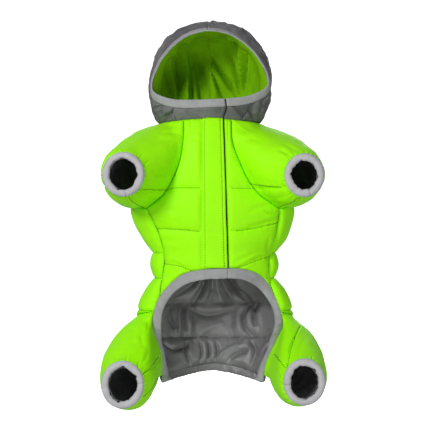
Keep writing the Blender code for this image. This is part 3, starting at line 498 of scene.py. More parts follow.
def shell(name, grid, face, raised, thickness, outside, inside=None, closed=False):
    """Cloth of even thickness: its outer face is the grid raised along its normals."""
    outer = grid + face * np.broadcast_to(raised, grid.shape[:2])[..., None]
    inner = outer - face * thickness
    faces, layer = shell_faces(*grid.shape[:2], closed)
    points = np.concatenate([outer.reshape(-1, 3), inner.reshape(-1, 3)])
    piece = add_mesh(name, points, faces, [outside, inside] if inside else [outside])
    if inside:
        indices = np.zeros(len(faces), np.int32)
        indices[layer:2 * layer] = 1
        piece.data.polygons.foreach_set("material_index", indices)
    return piece, outer


def dressed(piece, slot, *nodes):
    """Hides the solids that a finished piece stands for and hangs the piece on the root."""
    if nodes:
        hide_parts(*nodes)
    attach(piece, "root")
    print(f"{piece.name}: {len(piece.data.polygons)} faces")
    return piece


ALLOWANCE = 8.0                 # cloth that a maker leaves past every seam
LEAST_SHARE = 0.3               # of its rectangle that a piece may take up


def cut(piece, grid, closed=False, allowance=ALLOWANCE):
    """States the size that a piece of cloth is cut to: its form and the seam allowance."""
    ring = np.concatenate([grid, grid[:, :1]], axis=1) if closed else grid
    ways = border_ways(ring)
    width = float(ways["first"][:, -1].max()) + 2 * allowance
    length = float(ways["top"][-1].max()) + 2 * allowance
    corners = [ring[:-1, :-1], ring[:-1, 1:], ring[1:, 1:], ring[1:, :-1]]
    spans = np.cross(corners[2] - corners[0], corners[3] - corners[1])
    border = 2 * float(ways["first"][:, -1].mean() + ways["top"][-1].mean())
    area = float(np.linalg.norm(spans, axis=-1).sum()) / 2 + border * allowance
    area = min(max(area, LEAST_SHARE * width * length), width * length)
    print(f"{piece.name}: cut {width:.0f} x {length:.0f} mm, {area / 100:.0f} square cm")

# %% [markdown]
# ### Seams, puffs and puckers
#
# Where two cloths are sewn together both roll down into the seam, which is what draws the
# thin dark line.  Quilting does the same along each stitch line and lets the wadding swell
# between two lines.  The thread also draws the cloth up a little, so short wrinkles stand
# square to every stitch line.  No two of them are alike, so an uneven wave that is the same
# on every run is needed: `rumple` blends fixed random heights on a tilted lattice.

# %% Uneven waves
TILT = np.array([[0.36, 0.48, -0.8], [-0.8, 0.6, 0.0], [0.48, 0.64, 0.6]])
SEED_SHIFT = 7.31
PRIMES = (73856093, 19349663, 83492791)


def rumple(points, size, seed):
    """Smooth uneven heights from -1 to 1 that change over about a size in millimetres."""
    place = points @ TILT / size + seed * SEED_SHIFT
    cell = np.floor(place).astype(np.int64)
    part = place - cell
    part = part * part * (3 - 2 * part)
    total = np.zeros(points.shape[:-1])
    for corner in itertools.product((0, 1), repeat=3):
        spot = (cell + np.array(corner)) * np.array(PRIMES)
        code = spot[..., 0] ^ spot[..., 1] ^ spot[..., 2]
        code = ((code + seed * 2654435) & 0x7fffffff) * 48271 % 2147483647
        code = (code ^ (code >> 11)) * 69621 % 2147483647
        share = np.prod(np.where(corner, part, 1 - part), axis=-1)
        total += share * (code / 1073741823.5 - 1)
    return total

# %% Seams and quilting
SEAM_DEPTH, SEAM_ROLL, MEET_REACH = 2.0, 1.3, 2.5


def seam_roll(way, depth=SEAM_DEPTH, roll=SEAM_ROLL):
    """How far the cloth turns down at a seam, by distance from it."""
    return -depth * near(way, roll, 1.5)


def meet(face, way, shared):
    """Turns a cloth's directions into those of the seam, so that both cloths meet in it."""
    return unit(face + (shared - face) * near(way, MEET_REACH)[..., None])


def rise(way, reach=PUFF_RISE):
    """From 0 at a seam to 1 where the puff has its whole height."""
    return np.sin(np.clip(way / reach, 0, 1) * math.pi / 2)**0.8


def quilt(at, lines):
    """Puff height from 0 to 1 between quilt lines, and the distance to the nearest line."""
    lines, at = np.asarray(lines, float), np.asarray(at, float)
    i = np.clip(np.searchsorted(lines, at, side="right") - 1, 0, len(lines) - 2)
    part = np.clip((at - lines[i]) / (lines[i + 1] - lines[i]), 0, 1)
    away = np.minimum(np.abs(at - lines[i]), np.abs(lines[i + 1] - at))
    return (4 * part * (1 - part))**0.5, away


def puckers(points, away, stretch, size, reach=6.0, seed=3):
    """Short wrinkles beside a stitch line; stretch is small along the way they run."""
    return rumple(points * np.array(stretch), size, seed) * near(away, reach)


print("a seam is", SEAM_DEPTH, "mm deep")

# %% [markdown]
# ### Folds
#
# The main folds are placed one by one, because a reader knows a garment by them.  They are
# drawn as lines on a front view of the suit, 433 squares wide, and pressed into the cloth
# that faces the viewer: a soft trough with a low ridge on either side, fading at both ends.
# A fold with a negative depth is a ridge.

# %% Folds drawn on the front view
SQUARE, DRAWING_MIDDLE = 1.32, 216.5
FACING_GAIN = 2.2               # how fast folds come in where cloth turns to the viewer
Fold = namedtuple("Fold", "line depth width lift")


def fold_table(*rows):
    """Folds from rows of numbers: x and y of each point, then depth, width and lift."""
    return [Fold(np.reshape(row[:-3], (-1, 2)), *row[-3:]) for row in rows]


def front_view(points):
    """Where points appear on the front drawing, in its squares."""
    scale = SQUARE * (1 + points[..., 1] / -CAMERA_AT[1])
    return np.stack([DRAWING_MIDDLE + (points[..., 0] - CAMERA_AT[0]) / scale,
                     DRAWING_MIDDLE - (points[..., 2] - CAMERA_AT[2]) / scale], axis=-1)


def drawn(line, count=6):
    """A drawn line made smooth through its points."""
    way = passed(line)
    return smooth(way, line, np.linspace(0, way[-1], count * (len(line) - 1) + 1))


def way_to_line(seen, line):
    """Distance from each point to a drawn line, and the share of the line passed there."""
    lengths = np.linalg.norm(np.diff(line, axis=0), axis=1)
    way = passed(line)
    best, share = np.full(seen.shape[:-1], np.inf), np.zeros(seen.shape[:-1])
    for start, end, before, length in zip(line, line[1:], way, lengths):
        part = np.clip((seen - start) @ (end - start) / length**2, 0, 1)
        away = np.linalg.norm(seen - start - part[..., None] * (end - start), axis=-1)
        nearer = away < best
        best = np.where(nearer, away, best)
        share = np.where(nearer, (before + part * length) / way[-1], share)
    return best, share


def fold_heights(points, facing, folds):
    """Height change from folds, only on cloth that faces the viewer."""
    seen = front_view(points)
    total = np.zeros(points.shape[:-1])
    for fold in folds:
        away, share = way_to_line(seen, drawn(fold.line))
        away = away * SQUARE / fold.width
        ends = np.clip(4 * share * (1 - share), 0, 1)**0.6
        trough = 0.5 * np.exp(-(1.5 * away)**2) + 0.5 * np.exp(-away / 1.3)
        profile = fold.lift * np.exp(-(away - 2.1)**2 / 1.6) - fold.depth * trough
        total += profile * ends
    return total * facing


def faces_viewer(face, sign=-1):
    """1 where a surface faces the viewer, fading to 0 where it turns away."""
    return np.clip(sign * face[..., 1] * FACING_GAIN, 0, 1)


print("one square of the drawing is", SQUARE, "mm")

# %% [markdown]
# ### Sewing
#
# A stitch is a short loop of thread that dips into the cloth at both ends.  Each one is a
# small spindle of five sides, a little bowed, laid along its stitch line.

# %% Thread
STITCH_RINGS = table("part girth bow", (-0.5, 0.3, -0.28), (-0.22, 1.0, 0.1),
                     (0.22, 1.0, 0.1), (0.5, 0.3, -0.28))
STITCH_LIFT, STITCH_AHEAD = 0.16, 0.6


def read_way(way, values, at):
    """Rows of values along a way, read at one place."""
    return np.array([np.interp(at, way, values[:, k]) for k in range(values.shape[1])])


def sew(name, runs, thread, pitch, length, thick, sides=5):
    """Stitches along runs of points, each run with its own upward directions."""
    points, faces = [], []
    turns = 2 * math.pi * np.arange(sides) / sides
    for line, up in runs:
        way = passed(line)
        for centre in np.arange(pitch / 2, way[-1] - pitch / 3, pitch):
            here = read_way(way, line, centre)
            along = unit(read_way(way, line, centre + STITCH_AHEAD) - here)
            beside = unit(np.cross(along, read_way(way, up, centre)))
            lift = np.cross(beside, along)
            base = len(points)
            for ring in STITCH_RINGS:
                middle = here + along * ring.part * length + lift * (ring.bow + STITCH_LIFT)
                points += [middle + (beside * math.cos(turn) + lift * math.sin(turn))
                           * thick * ring.girth for turn in turns]
            index = base + np.arange(len(STITCH_RINGS) * sides).reshape(-1, sides)
            after = np.roll(index, -1, axis=1)
            walls = np.stack([index[:-1], after[:-1], after[1:], index[1:]], axis=-1)
            faces += walls.reshape(-1, 4).tolist()
            faces += [index[0, ::-1].tolist(), index[-1].tolist()]
    return new_object(name, [tuple(point * MM) for point in points], faces, [thread])


FAR_OFF, BARELY_SEEN, SPOT_REACH = 90.0, -0.12, 4.0    # for cloth that a drawn line must miss


def drawn_run(outer, face, line):
    """A run of stitches on the cloth that faces the viewer, along a drawn line."""
    seen, hidden = front_view(outer), FAR_OFF * (face[..., 1] > BARELY_SEEN)
    fields = [np.sum((seen - spot)**2, axis=-1) + hidden for spot in drawn(line, 9)]
    found = [np.unravel_index(int(np.argmin(field)), field.shape)
             for field in fields if field.min() < SPOT_REACH]
    found = [spot for number, spot in enumerate(found) if number == 0 or spot != found[number - 1]]
    return np.array([outer[spot] for spot in found]), np.array([face[spot] for spot in found])


def nearest(values, wanted):
    """Number of the value nearest to the one wanted."""
    return int(np.argmin(np.abs(np.asarray(values) - wanted)))


print("a stitch has", len(STITCH_RINGS), "rings of points")

# %% [markdown]
# ## Finishes
#
# Seen close, nylon is a fine plain weave with a dull shine and faint crinkles from being
# folded; binding tape is knitted and quite matt; the hood's lining is brushed.  All of that
# is too small to model, so it goes into the finish: a bump from the weave, a softer bump
# from the crinkles, and a little unevenness in colour and gloss.  Everything is measured in
# the garment's own space, so no unwrapping is needed.

# %% Weave, crinkle and colour nodes
WAVE_SCALE = 0.314              # of a wave node whose ridges are one metre apart


def new_finish(name):
    """A finish with its nodes, its shader and the garment's own coordinates."""
    made = bpy.data.materials.new(name)
    made.use_nodes = True
    tree = made.node_tree
    place = tree.nodes.new("ShaderNodeTexCoord").outputs["Object"]
    return made, tree, tree.nodes["Principled BSDF"], place


def set_inputs(tree, node, inputs):
    """Gives a node its inputs: numbers, colours or the outputs of other nodes."""
    for socket, value in inputs.items():
        if isinstance(value, bpy.types.NodeSocket):
            tree.links.new(value, node.inputs[socket])
        else:
            node.inputs[socket].default_value = value


def add_node(tree, kind, output, inputs, **settings):
    """A new node with its settings and inputs; gives back one of its outputs."""
    node = tree.nodes.new(f"ShaderNode{kind}")
    for name, value in settings.items():
        setattr(node, name, value)
    set_inputs(tree, node, inputs)
    return node.outputs[output]


def noise(tree, place, scale, detail):
    """Soft noise at so many lumps to a metre."""
    return add_node(tree, "TexNoise", "Fac", {"Scale": scale, "Detail": detail, "Vector": place})


def threads(tree, place, direction, spacing):
    """Ridges of thread that many millimetres apart."""
    inputs = {"Scale": WAVE_SCALE / (spacing * MM), "Distortion": 0.6, "Vector": place}
    return add_node(tree, "TexWave", "Fac", inputs, bands_direction=direction)


def both(tree, first, second):
    """Two heights added together."""
    return add_node(tree, "Math", 0, {0: first, 1: second}, operation="ADD")


def spread(tree, value, low, high):
    """The middle of a noise spread over another range."""
    inputs = {"From Min": 0.3, "From Max": 0.7, "To Min": low, "To Max": high, "Value": value}
    return add_node(tree, "MapRange", "Result", inputs)


def two_tone(tree, value, colour, other):
    """A colour that changes a little from place to place."""
    inputs = {"A": (*colour, 1), "B": (*other, 1), "Factor": spread(tree, value, 0, 1)}
    return add_node(tree, "Mix", "Result", inputs, data_type="RGBA")


def relief(tree, layers):
    """Bumps from several heights, each with its own depth in millimetres and strength."""
    bumped = {}
    for height, depth, strength in layers:
        inputs = {"Distance": depth * MM, "Strength": strength, "Height": height}
        bumped = {"Normal": add_node(tree, "Bump", "Normal", inputs | bumped)}
    return bumped["Normal"]


print("a wave node's scale for threads 1 mm apart:", round(WAVE_SCALE / MM))

# %% A woven, slightly shiny cloth
def woven(name, colour, other, gloss, crinkle, spacing=0.55, shine=0.5):
    """Plain woven cloth: fine threads both ways, crinkles, uneven colour and gloss."""
    made, tree, shader, place = new_finish(name)
    patches, fine = noise(tree, place, 34, 4), noise(tree, place, 420, 2)
    set_inputs(tree, shader, {
        "Base Color": two_tone(tree, patches, colour, other),
        "Roughness": spread(tree, noise(tree, place, 60, 3), gloss - 0.05, gloss + 0.07),
        "Specular IOR Level": shine})
    weave = both(tree, threads(tree, place, "X", spacing), threads(tree, place, "Z", spacing))
    set_inputs(tree, shader, {"Normal": relief(tree, [
        (noise(tree, place, 95, 4), 0.9, crinkle), (noise(tree, place, 260, 3), 0.3, crinkle),
        (weave, 0.08, 0.35), (fine, 0.05, 0.3)])})
    return made

# %% Knitted and brushed cloth, and thread
def knitted(name, colour, other, spacing=1.1):
    """Matt knitted tape: raised ribs with small loops across them."""
    made, tree, shader, place = new_finish(name)
    set_inputs(tree, shader, {
        "Base Color": two_tone(tree, noise(tree, place, 120, 4), colour, other),
        "Roughness": spread(tree, noise(tree, place, 200, 2), 0.72, 0.86),
        "Specular IOR Level": 0.25})
    loops = both(tree, threads(tree, place, "DIAGONAL", spacing),
                 threads(tree, place, "Z", spacing * 0.8))
    set_inputs(tree, shader, {"Normal": relief(tree, [
        (noise(tree, place, 170, 3), 0.5, 0.35), (loops, 0.25, 0.5)])})
    return made


def brushed(name, colour, other):
    """Brushed cloth: matt and a little fluffy."""
    made, tree, shader, place = new_finish(name)
    set_inputs(tree, shader, {
        "Base Color": two_tone(tree, noise(tree, place, 50, 5), colour, other),
        "Roughness": spread(tree, noise(tree, place, 300, 2), 0.85, 0.95),
        "Specular IOR Level": 0.06,
        "Normal": relief(tree, [(noise(tree, place, 110, 4), 0.6, 0.3),
                                (noise(tree, place, 900, 3), 0.2, 0.6)])})
    return made


def thread(name, colour, other):
    """Sewing thread: twisted and slightly shiny."""
    made, tree, shader, place = new_finish(name)
    set_inputs(tree, shader, {
        "Base Color": two_tone(tree, noise(tree, place, 500, 2), colour, other),
        "Roughness": 0.5,
        "Normal": relief(tree, [(threads(tree, place, "DIAGONAL", 0.3), 0.08, 0.6)])})
    return made

# %% [markdown]
# The lime green is strong enough to be picked up by its own folds, so its base is kept a
# little darker than the brightest places look.  The inside faces of the padded pieces are
# lined: grey in the body and the hind legs, dark in the sleeves.  The cuffs are a paler
# knit than the tape of the edges.  The hood's lining gets a darker green than its cloth has:
# painted shade for the inside of the hood.

# %% The suit's finishes
green_nylon = woven("green_nylon", (0.345, 0.96, 0.002), (0.325, 0.92, 0.002), 0.50, 0.22,
                    shine=0.13)
grey_nylon = woven("grey_nylon", (0.185, 0.181, 0.19), (0.085, 0.083, 0.09), 0.55, 0.45,
                   shine=0.25)
grey_taffeta = woven("grey_taffeta", (0.22, 0.218, 0.222), (0.13, 0.129, 0.132), 0.33, 0.5)
dark_taffeta = woven("dark_taffeta", (0.21, 0.21, 0.218), (0.095, 0.095, 0.102), 0.36, 0.6)
# painted shade: a darker green than the lining has, for the shade inside the hood
green_fleece = brushed("green_fleece", (0.20, 0.49, 0.002), (0.15, 0.37, 0.002))
light_tape = knitted("light_tape", (0.36, 0.357, 0.368), (0.30, 0.298, 0.308))
light_knit = knitted("light_knit", (0.504, 0.5, 0.513), (0.432, 0.429, 0.441))
# near black: the zip's own dark colour, and painted shade for the gap beside the flap
zip_cloth_and_gap_shade = woven("zip_cloth_and_gap_shade", (0.012, 0.02, 0.008), (0.008, 0.014, 0.006), 0.6, 0.2, 0.7)
zip_plastic_and_gap_shade = thread("zip_plastic_and_gap_shade", (0.015, 0.03, 0.01), (0.01, 0.02, 0.008))
# dark green thread: real thread on the quilt lines; in the seams its darkness is painted shade
green_thread_and_seam_shade = thread("green_thread_and_seam_shade", (0.035, 0.13, 0.002), (0.02, 0.09, 0.002))
grey_thread = thread("grey_thread", (0.34, 0.34, 0.35), (0.28, 0.28, 0.29))
dark_thread = thread("dark_thread", (0.05, 0.05, 0.052), (0.035, 0.035, 0.037))
print("finishes:", len(bpy.data.materials))

# %% [markdown]
# ## Back panel
#
# The back is the largest piece: one padded panel from the nape to the tail, wrapped round
# to the side seams.  It is quilted across into eight long puffs.  It could be a plain
# surface with a displacement map, but the puffs show in the outline at the waist, so they
# are raised in the mesh, on the same rows and columns as the solid and many more between.

# %% Rows of the back
HEM_CURVE, EDGE_HOLD = 1.35, 6  # how the hem line rises, and how firmly its ends stay put
MARK_CLEAR = 0.7                # millimetres kept free beside a stitch line


def back_reach_rows(rows, short):
    """Side edges of the back less some degrees, as angles from mid back, row by row."""
    return [np.array([back_reach(side, drop) for drop in rows]) - math.radians(short)
            for side in (LEFT, RIGHT)]


def hem_drop(angle):
    """Drop of the seam between the back and the hem casing, by angle from mid back."""
    part = np.sin(np.minimum(np.abs(angle), math.pi / 2))
    return HEM_DROP + (LEG_BOTTOM - HEM_DROP) * part**HEM_CURVE


def back_grid(columns, first_drop, short=0.0):
    """Turns and drops of the back from side edge to side edge, and each row's own drop."""
    rows = np.array(column(BACK_RAGLAN, "drop") + SIDE_ROWS + [240, LEG_TOP]
                    + column(LEG_SEAM, "drop"), float)
    rows = rows[rows >= first_drop]
    spread_at = np.linspace(-1, 1, columns)
    edge = np.abs(spread_at)**EDGE_HOLD
    reach_left, reach_right = back_reach_rows(rows, short)
    reach = np.where(spread_at < 0, reach_left[:, None], reach_right[:, None])
    angle = spread_at * reach
    low = np.clip((rows - LEG_TOP) / (LEG_BOTTOM - LEG_TOP), 0, 1)[:, None]
    drops = rows[:, None] + (hem_drop(angle) - LEG_BOTTOM) * low * (1 - edge)
    return math.pi - angle, drops, rows


def fine_back(columns, across, spacing, lines, first_drop=0.0, short=0.0):
    """The back's grid with fine rows, one of them on each stitch line."""
    turns, drops, rows = back_grid(columns, first_drop, short)
    tall = rows[-1] - rows[0]
    levels = with_marks(rows[0] + tall * fine_steps(tall, spacing), lines, MARK_CLEAR)
    at = np.interp(levels, rows, np.arange(len(rows)))
    turns, drops = (respread(respread(values, at), across, axis=1) for values in (turns, drops))
    return turns, drops, levels


print("the back's hem rises", round(LEG_BOTTOM - HEM_DROP, 1), "mm in the middle")

# %% Folds of the back
BACK_FOLDS = fold_table(
    (172, 150, 186, 158, 204, 156, 1.1, 4.0, 0.5),
    (258, 146, 246, 158, 232, 163, 1.2, 4.2, 0.5),
    (190, 205, 210, 212, 236, 207, 1.2, 4.5, 0.6),
    (168, 232, 182, 226, 198, 229, 1.0, 3.6, 0.4),
    (244, 236, 258, 230, 268, 221, 1.3, 3.6, 0.6),
    (205, 252, 216, 262, 214, 275, 1.1, 3.8, 0.5),
    (170, 284, 184, 292, 188, 304, 1.3, 3.8, 0.6),
    (262, 286, 250, 296, 247, 310, 1.2, 3.6, 0.5),
    (198, 330, 214, 322, 232, 326, 1.1, 4.2, 0.5))

print("folds on the back:", len(BACK_FOLDS))

# %% Make the back panel
sewn = {"green": [], "seam": [], "grey": [], "dark": []}     # runs of stitches, by thread
PANEL_WIDTH, PANEL_SPACING, ROW_SPACING = 260, 1.85, 1.9


def make_back_panel():
    """The padded back, puffed between its quilt lines."""
    across = (BACK_COLUMNS - 1) * fine_steps(PANEL_WIDTH, PANEL_SPACING)
    turns, drops, levels = fine_back(BACK_COLUMNS, across, ROW_SPACING, BACK_LINES)
    grid, face = on_trunk(turns, drops)
    ways = border_ways(grid)
    sides = closest(ways, "first", "last")
    edges = closest(ways, "first", "last", "top", "bottom")
    puff, away = quilt(levels, BACK_LINES)
    puff, away = puff[:, None], away[:, None]
    raised = PUFF * puff * rise(sides)
    # drawn up by the thread
    raised += 0.7 * puckers(grid, away, (1, 1, 0.25), 5.5) * rise(sides, 3)
    raised -= 0.5 * near(away, 1.1) * rise(sides, 3)    # the stitch lines cut in
    raised += 0.8 * puckers(grid, sides, (0.3, 0.3, 1), 4.5, 6.0, 8) * rise(sides, 3)
    raised += fold_heights(grid, faces_viewer(face, 1) * rise(edges, 6), BACK_FOLDS)
    raised += 1.0 * rumple(grid, 38, 1) * rise(sides, 18) * puff    # broad dents
    raised += 0.35 * rumple(grid, 14, 2) * rise(edges) * puff    # small dents
    raised += seam_roll(edges)
    piece, outer = shell("back", grid, face, raised, CLOTH, green_nylon, grey_taffeta)
    for line in BACK_LINES[1:-1]:
        row = nearest(levels, line)
        sewn["green"].append((outer[row, 3:-3], face[row, 3:-3]))
    cut(piece, grid)
    dressed(piece, "green_nylon", "back_panel")


make_back_panel()

# %% [markdown]
# ## Front panels
#
# Two narrower padded panels meet at the zip.  The left one runs on under the flap.  Their
# quilt lines are drawn: the upper two run level, the lowest slopes with the belly
# opening.  `drift` says at which drop each line runs for a place across, so the puffs
# follow the lines instead of the rows.

# %% Quilt lines of the front
LOWEST_PUFF = 34.0              # height of the puff below the last line
FRONT_LINES = {                 # place across and drop of each line's points
    LEFT: [
        [(-62, 92.5), (-42, 90.8), (-13, 90.8)],
        [(-72, 143), (-40, 144.5), (-13, 147)],
        [(-60, 189), (-42, 192), (-32, 196), (-13, 203)],
    ],
    RIGHT: [
        [(15, 91.0), (40, 91.5), (60, 91.5)],
        [(17, 147.5), (48, 143.4), (70, 138.8), (83, 135.7)],
        [(15, 196), (26, 193.8), (37, 191.8), (56, 184.5), (72, 180)],
    ],
}


def drift(side, places, drops):
    """Quilt coordinate: 0 at the neck, 1 to 3 on the lines, 4 at the opening."""
    levels = [np.zeros(places.shape)]
    for line in FRONT_LINES[side]:
        across, down = zip(*line)
        levels.append(smooth(across, down, np.clip(places, across[0], across[-1])))
    levels.append(levels[-1] + LOWEST_PUFF)
    return sum(np.clip((drops - above) / (below - above), 0, 1)
               for above, below in zip(levels, levels[1:]))


def level_run(outer, face, field, value, columns):
    """A run along the line where a field that grows down the rows reaches a value."""
    line, up = [], []
    for number in columns:
        above = field[:, number] >= value
        rows = np.nonzero(above[:-1] != above[1:])[0]
        if len(rows):
            row = rows[0]
            part = (value - field[row, number]) / (field[row + 1, number] - field[row, number])
            line.append(outer[row, number] * (1 - part) + outer[row + 1, number] * part)
            up.append(face[row, number])
    return np.array(line), np.array(up)


print("quilt lines on each front panel:", [len(lines) for lines in FRONT_LINES.values()])

# %% Grid of a front panel
UNDER_FLAP = 0.2                # share of the left panel's columns that the flap covers
CHEST_SPACING, CHEST_WIDTH, CHEST_FOOT = 1.35, 85, 40


def chest_drops():
    """Drops of the front's main rows at the placket and at the side."""
    centre, side = [0.0], [0.0]
    for above, row in zip(CHEST, CHEST[1:]):
        for step in range(1, row.rows + 1):
            centre.append(above.centre + (row.centre - above.centre) * step / row.rows)
            side.append(above.side + (row.side - above.side) * step / row.rows)
    shared = len([drop for drop in SIDE_ROWS if drop <= CHEST[-1].side])
    side[-shared:] = SIDE_ROWS[:shared]
    return np.array(centre), np.array(side)


def chest_columns(side, drops, spans):
    """Places across of one row of a front panel; the left panel runs on under the flap."""
    seam = seam_x(side, drops[-1])
    if side == RIGHT:
        start = flap_edge(drops[0]) + ZIP_OPEN
        return start + (seam - start) * spans
    under = flap_edge(drops[0]) - ZIP_OPEN
    open_part = np.clip((spans - UNDER_FLAP) / (1 - UNDER_FLAP), 0, 1)
    covered = under + (FLAP_LEFT - under) * np.clip(spans / UNDER_FLAP, 0, 1)
    return covered + (seam - FLAP_LEFT) * open_part


def fine_chest(side):
    """Fine grid of a front panel: places across and drops."""
    centre, edge = chest_drops()
    levels = centre[-1] * fine_steps(centre[-1], CHEST_SPACING, (True, False))
    spans = fine_steps(CHEST_WIDTH, CHEST_SPACING)
    places, drops = [], []
    for middle in levels:
        outer = np.interp(middle, centre, edge)
        drops.append(middle + (outer - middle) * spans**2)
        places.append(chest_columns(side, drops[-1], spans))
    lowest = drops[-1]
    foot = chest_columns(side, [FLAP_LENGTH, SIDE_ROWS[-1]], spans)
    arch = opening(side, arch_station(side, foot))[1]
    arch[-1] = SIDE_ROWS[-1]
    for part in fine_steps(CHEST_FOOT, CHEST_SPACING * 1.2, (False, True))[1:]:
        drops.append(lowest + (arch - lowest) * part)
        places.append(chest_columns(side, drops[-1], spans))
    places[-1] = foot
    return np.array(places), np.array(drops)

# %% [markdown]
# The folds beside the zip and the drag lines from the underarms are what make the front
# look worn rather than moulded.  They are kept shallow: padded cloth bends softly.

# %% Folds of the front
FRONT_FOLDS = {
    LEFT: fold_table(
        (191, 119, 191, 127, 190.5, 136, 0.8, 1.6, 0.3),
        (187, 142, 194, 140, 202, 141, 0.5, 2.4, 0.3),
        (166, 196, 178, 192, 192, 192, 0.5, 3.0, 0.4),
        (158, 214, 170, 210, 184, 212, 0.5, 3.4, 0.4),
        (157, 236, 170, 240, 186, 238, 0.5, 3.4, 0.4),
        (165, 262, 176, 263, 186, 269, 0.8, 2.0, 0.6),
        (162, 247, 166, 256, 164, 266, 0.7, 2.4, 0.4),
        (160, 276, 163, 283, 161, 291, 0.7, 1.8, 0.3)),
    RIGHT: fold_table(
        (227.6, 120, 227.9, 132, 228.4, 147, 0.9, 1.3, 0.5),
        (232, 157, 236, 160, 243, 161, 0.4, 2.2, 0.3),
        (262, 210, 270, 213, 279, 215.5, 1.3, 2.0, 0.8),
        (246, 213, 258, 208, 270, 206, 0.7, 3.0, 0.5),
        (244, 228, 260, 224, 276, 219, 0.7, 2.6, 0.7),
        (233, 262, 242, 259, 252, 255, 0.8, 2.6, 0.7),
        (240, 267, 252, 260, 266, 256, 1.0, 2.0, 0.8),
        (268, 236, 266, 246, 268, 256, 0.7, 2.2, 0.4),
        (269, 268, 267, 276, 268, 284, 0.6, 1.8, 0.3)),
}

# %% Make the front panels
QUILT_WAY = 48                  # millimetres to one step of the quilt coordinate, roughly


def make_front_panel(side):
    """One padded front panel, puffed between its drawn quilt lines."""
    places, drops = fine_chest(side)
    grid, face = on_trunk(trunk_turn(places, drops), drops)
    ways = border_ways(grid)
    start = FLAP_LEFT if side == LEFT else flap_edge(drops) + ZIP_OPEN
    open_side = np.maximum(side * (places - start), 0)
    field = drift(side, places, drops)
    band = field - np.floor(np.minimum(field, 3.999))
    puff = (4 * band * (1 - band))**0.5 * np.where(field > 3, 0.4, 1.0)
    away = np.abs(field - np.round(field)) * QUILT_WAY + 40 * (field < 0.5)
    edges = closest(ways, "last", "top", "bottom")
    raised = CHEST_PUFF * puff * rise(open_side, 7) * rise(ways["last"])
    raised += 0.6 * puckers(grid, away, (1, 1, 0.3), 4.5) * rise(open_side, 5)
    raised -= 0.7 * near(away, 1.2) * rise(open_side, 3) * rise(edges, 3)    # the stitch lines
    raised += 0.8 * puckers(grid, ways["last"], (0.4, 0.4, 1), 4.5, 6.0, 8) * rise(edges, 3)
    raised += 0.8 * rumple(grid, 30, 5) * rise(edges, 15) * puff * rise(open_side, 9)
    raised += fold_heights(grid, faces_viewer(face), FRONT_FOLDS[side])
    raised += seam_roll(edges)
    if side == RIGHT:
        raised += seam_roll(ways["first"], 0.9, 1.2)    # the free edge beside the zip
    piece, outer = shell(f"front_{side_name(side)}", grid, face, raised, CLOTH, green_nylon,
                         grey_taffeta)
    beside = np.nonzero(open_side[5] > 1.5)[0][:-3]
    for value in (1, 2, 3):
        sewn["green"].append(level_run(outer, face, field, value, beside))
    # dark stitches down the side seam: painted shade of the seam's groove
    sewn["seam"].append((outer[3:, -1] + face[3:, -1] * 0.6, face[3:, -1]))
    low = np.nonzero(drops[:, -1] > UNDERARM + 2)[0]
    sewn["seam"].append((outer[low, -2] + face[low, -2] * 0.3, face[low, -2]))
    cut(piece, grid)
    dressed(piece, "green_nylon", f"chest_panel_{side_name(side)}")


make_front_panel(LEFT)
make_front_panel(RIGHT)

# %% [markdown]
# ## Flap, zip tape and teeth
#
# A flap covers the zip against wind.  It is sewn down along its left edge, and a second row
# of stitches near its free edge keeps it flat.  The zip's tape shows in the narrow gap
# beside it; the teeth lie just under the flap's edge.  Tape and teeth are near black: partly
# the zip's own dark colour, partly painted shade for the shadowed gap beside the flap.  The
# flap is a thin strip of the same nylon, folded double, so both long edges are rounded.  The
# zip runs up through the collar to the face opening, so the hood's form is needed for it
# already.

# %% Make the flap
FLAP_WIDTH, FLAP_WALL = 27, 1.5
STITCH_IN = {"first": 3.0, "last": 3.4}         # from the flap's sewn edge, from its free edge


def make_flap():
    """The flap over the zip, with a row of stitches along each long edge."""
    levels = FLAP_LENGTH * fine_steps(FLAP_LENGTH, 1.3)
    spans = fine_steps(FLAP_WIDTH, 0.9)
    drops = np.repeat(levels[:, None], len(spans), axis=1)
    places = FLAP_LEFT + (flap_edge(drops) - FLAP_LEFT) * spans
    wave = 0.45 * rumple(trunk(np.zeros_like(drops), drops), 17, 4) * spans**2
    grid, face = on_trunk(trunk_turn(places + wave, drops), drops)
    ways = border_ways(grid)
    first, last = ways["first"], ways["last"]
    from_left, from_right = (np.abs(ways[way] - place) for way, place in STITCH_IN.items())
    raised = 1.1 + (FLAP + FLAP_LIFT - 0.6) * rise(first, 4)
    raised -= 0.8 * near(from_left, 0.9)    # two rows of stitches
    raised -= 0.7 * near(from_right, 0.9)
    raised += 0.4 * puckers(grid, np.minimum(from_left, from_right), (1, 1, 1), 3.2, 3.0, 6)
    raised += 0.5 * rumple(grid, 26, 9) * rise(last, 8) * rise(first, 8)
    raised -= 0.7 * near(last, 0.8)    # two folded edges
    raised -= 0.7 * near(first, 0.7)
    raised += seam_roll(closest(ways, "top", "bottom"), 1.6, 1.4)
    raised -= 0.25 * near(drops - FRONT_LINES[LEFT][1][-1][1] - 0.5, 1.6)    # a quilt line below
    piece, outer = shell("flap", grid, face, raised, FLAP_WALL, green_nylon)
    for way, place in STITCH_IN.items():
        number = nearest(ways[way][40], place)
        sewn["green"].append((outer[:, number], face[:, number]))
    cut(piece, grid, allowance=3.0)
    dressed(piece, "green_nylon", "placket_flap")


make_flap()

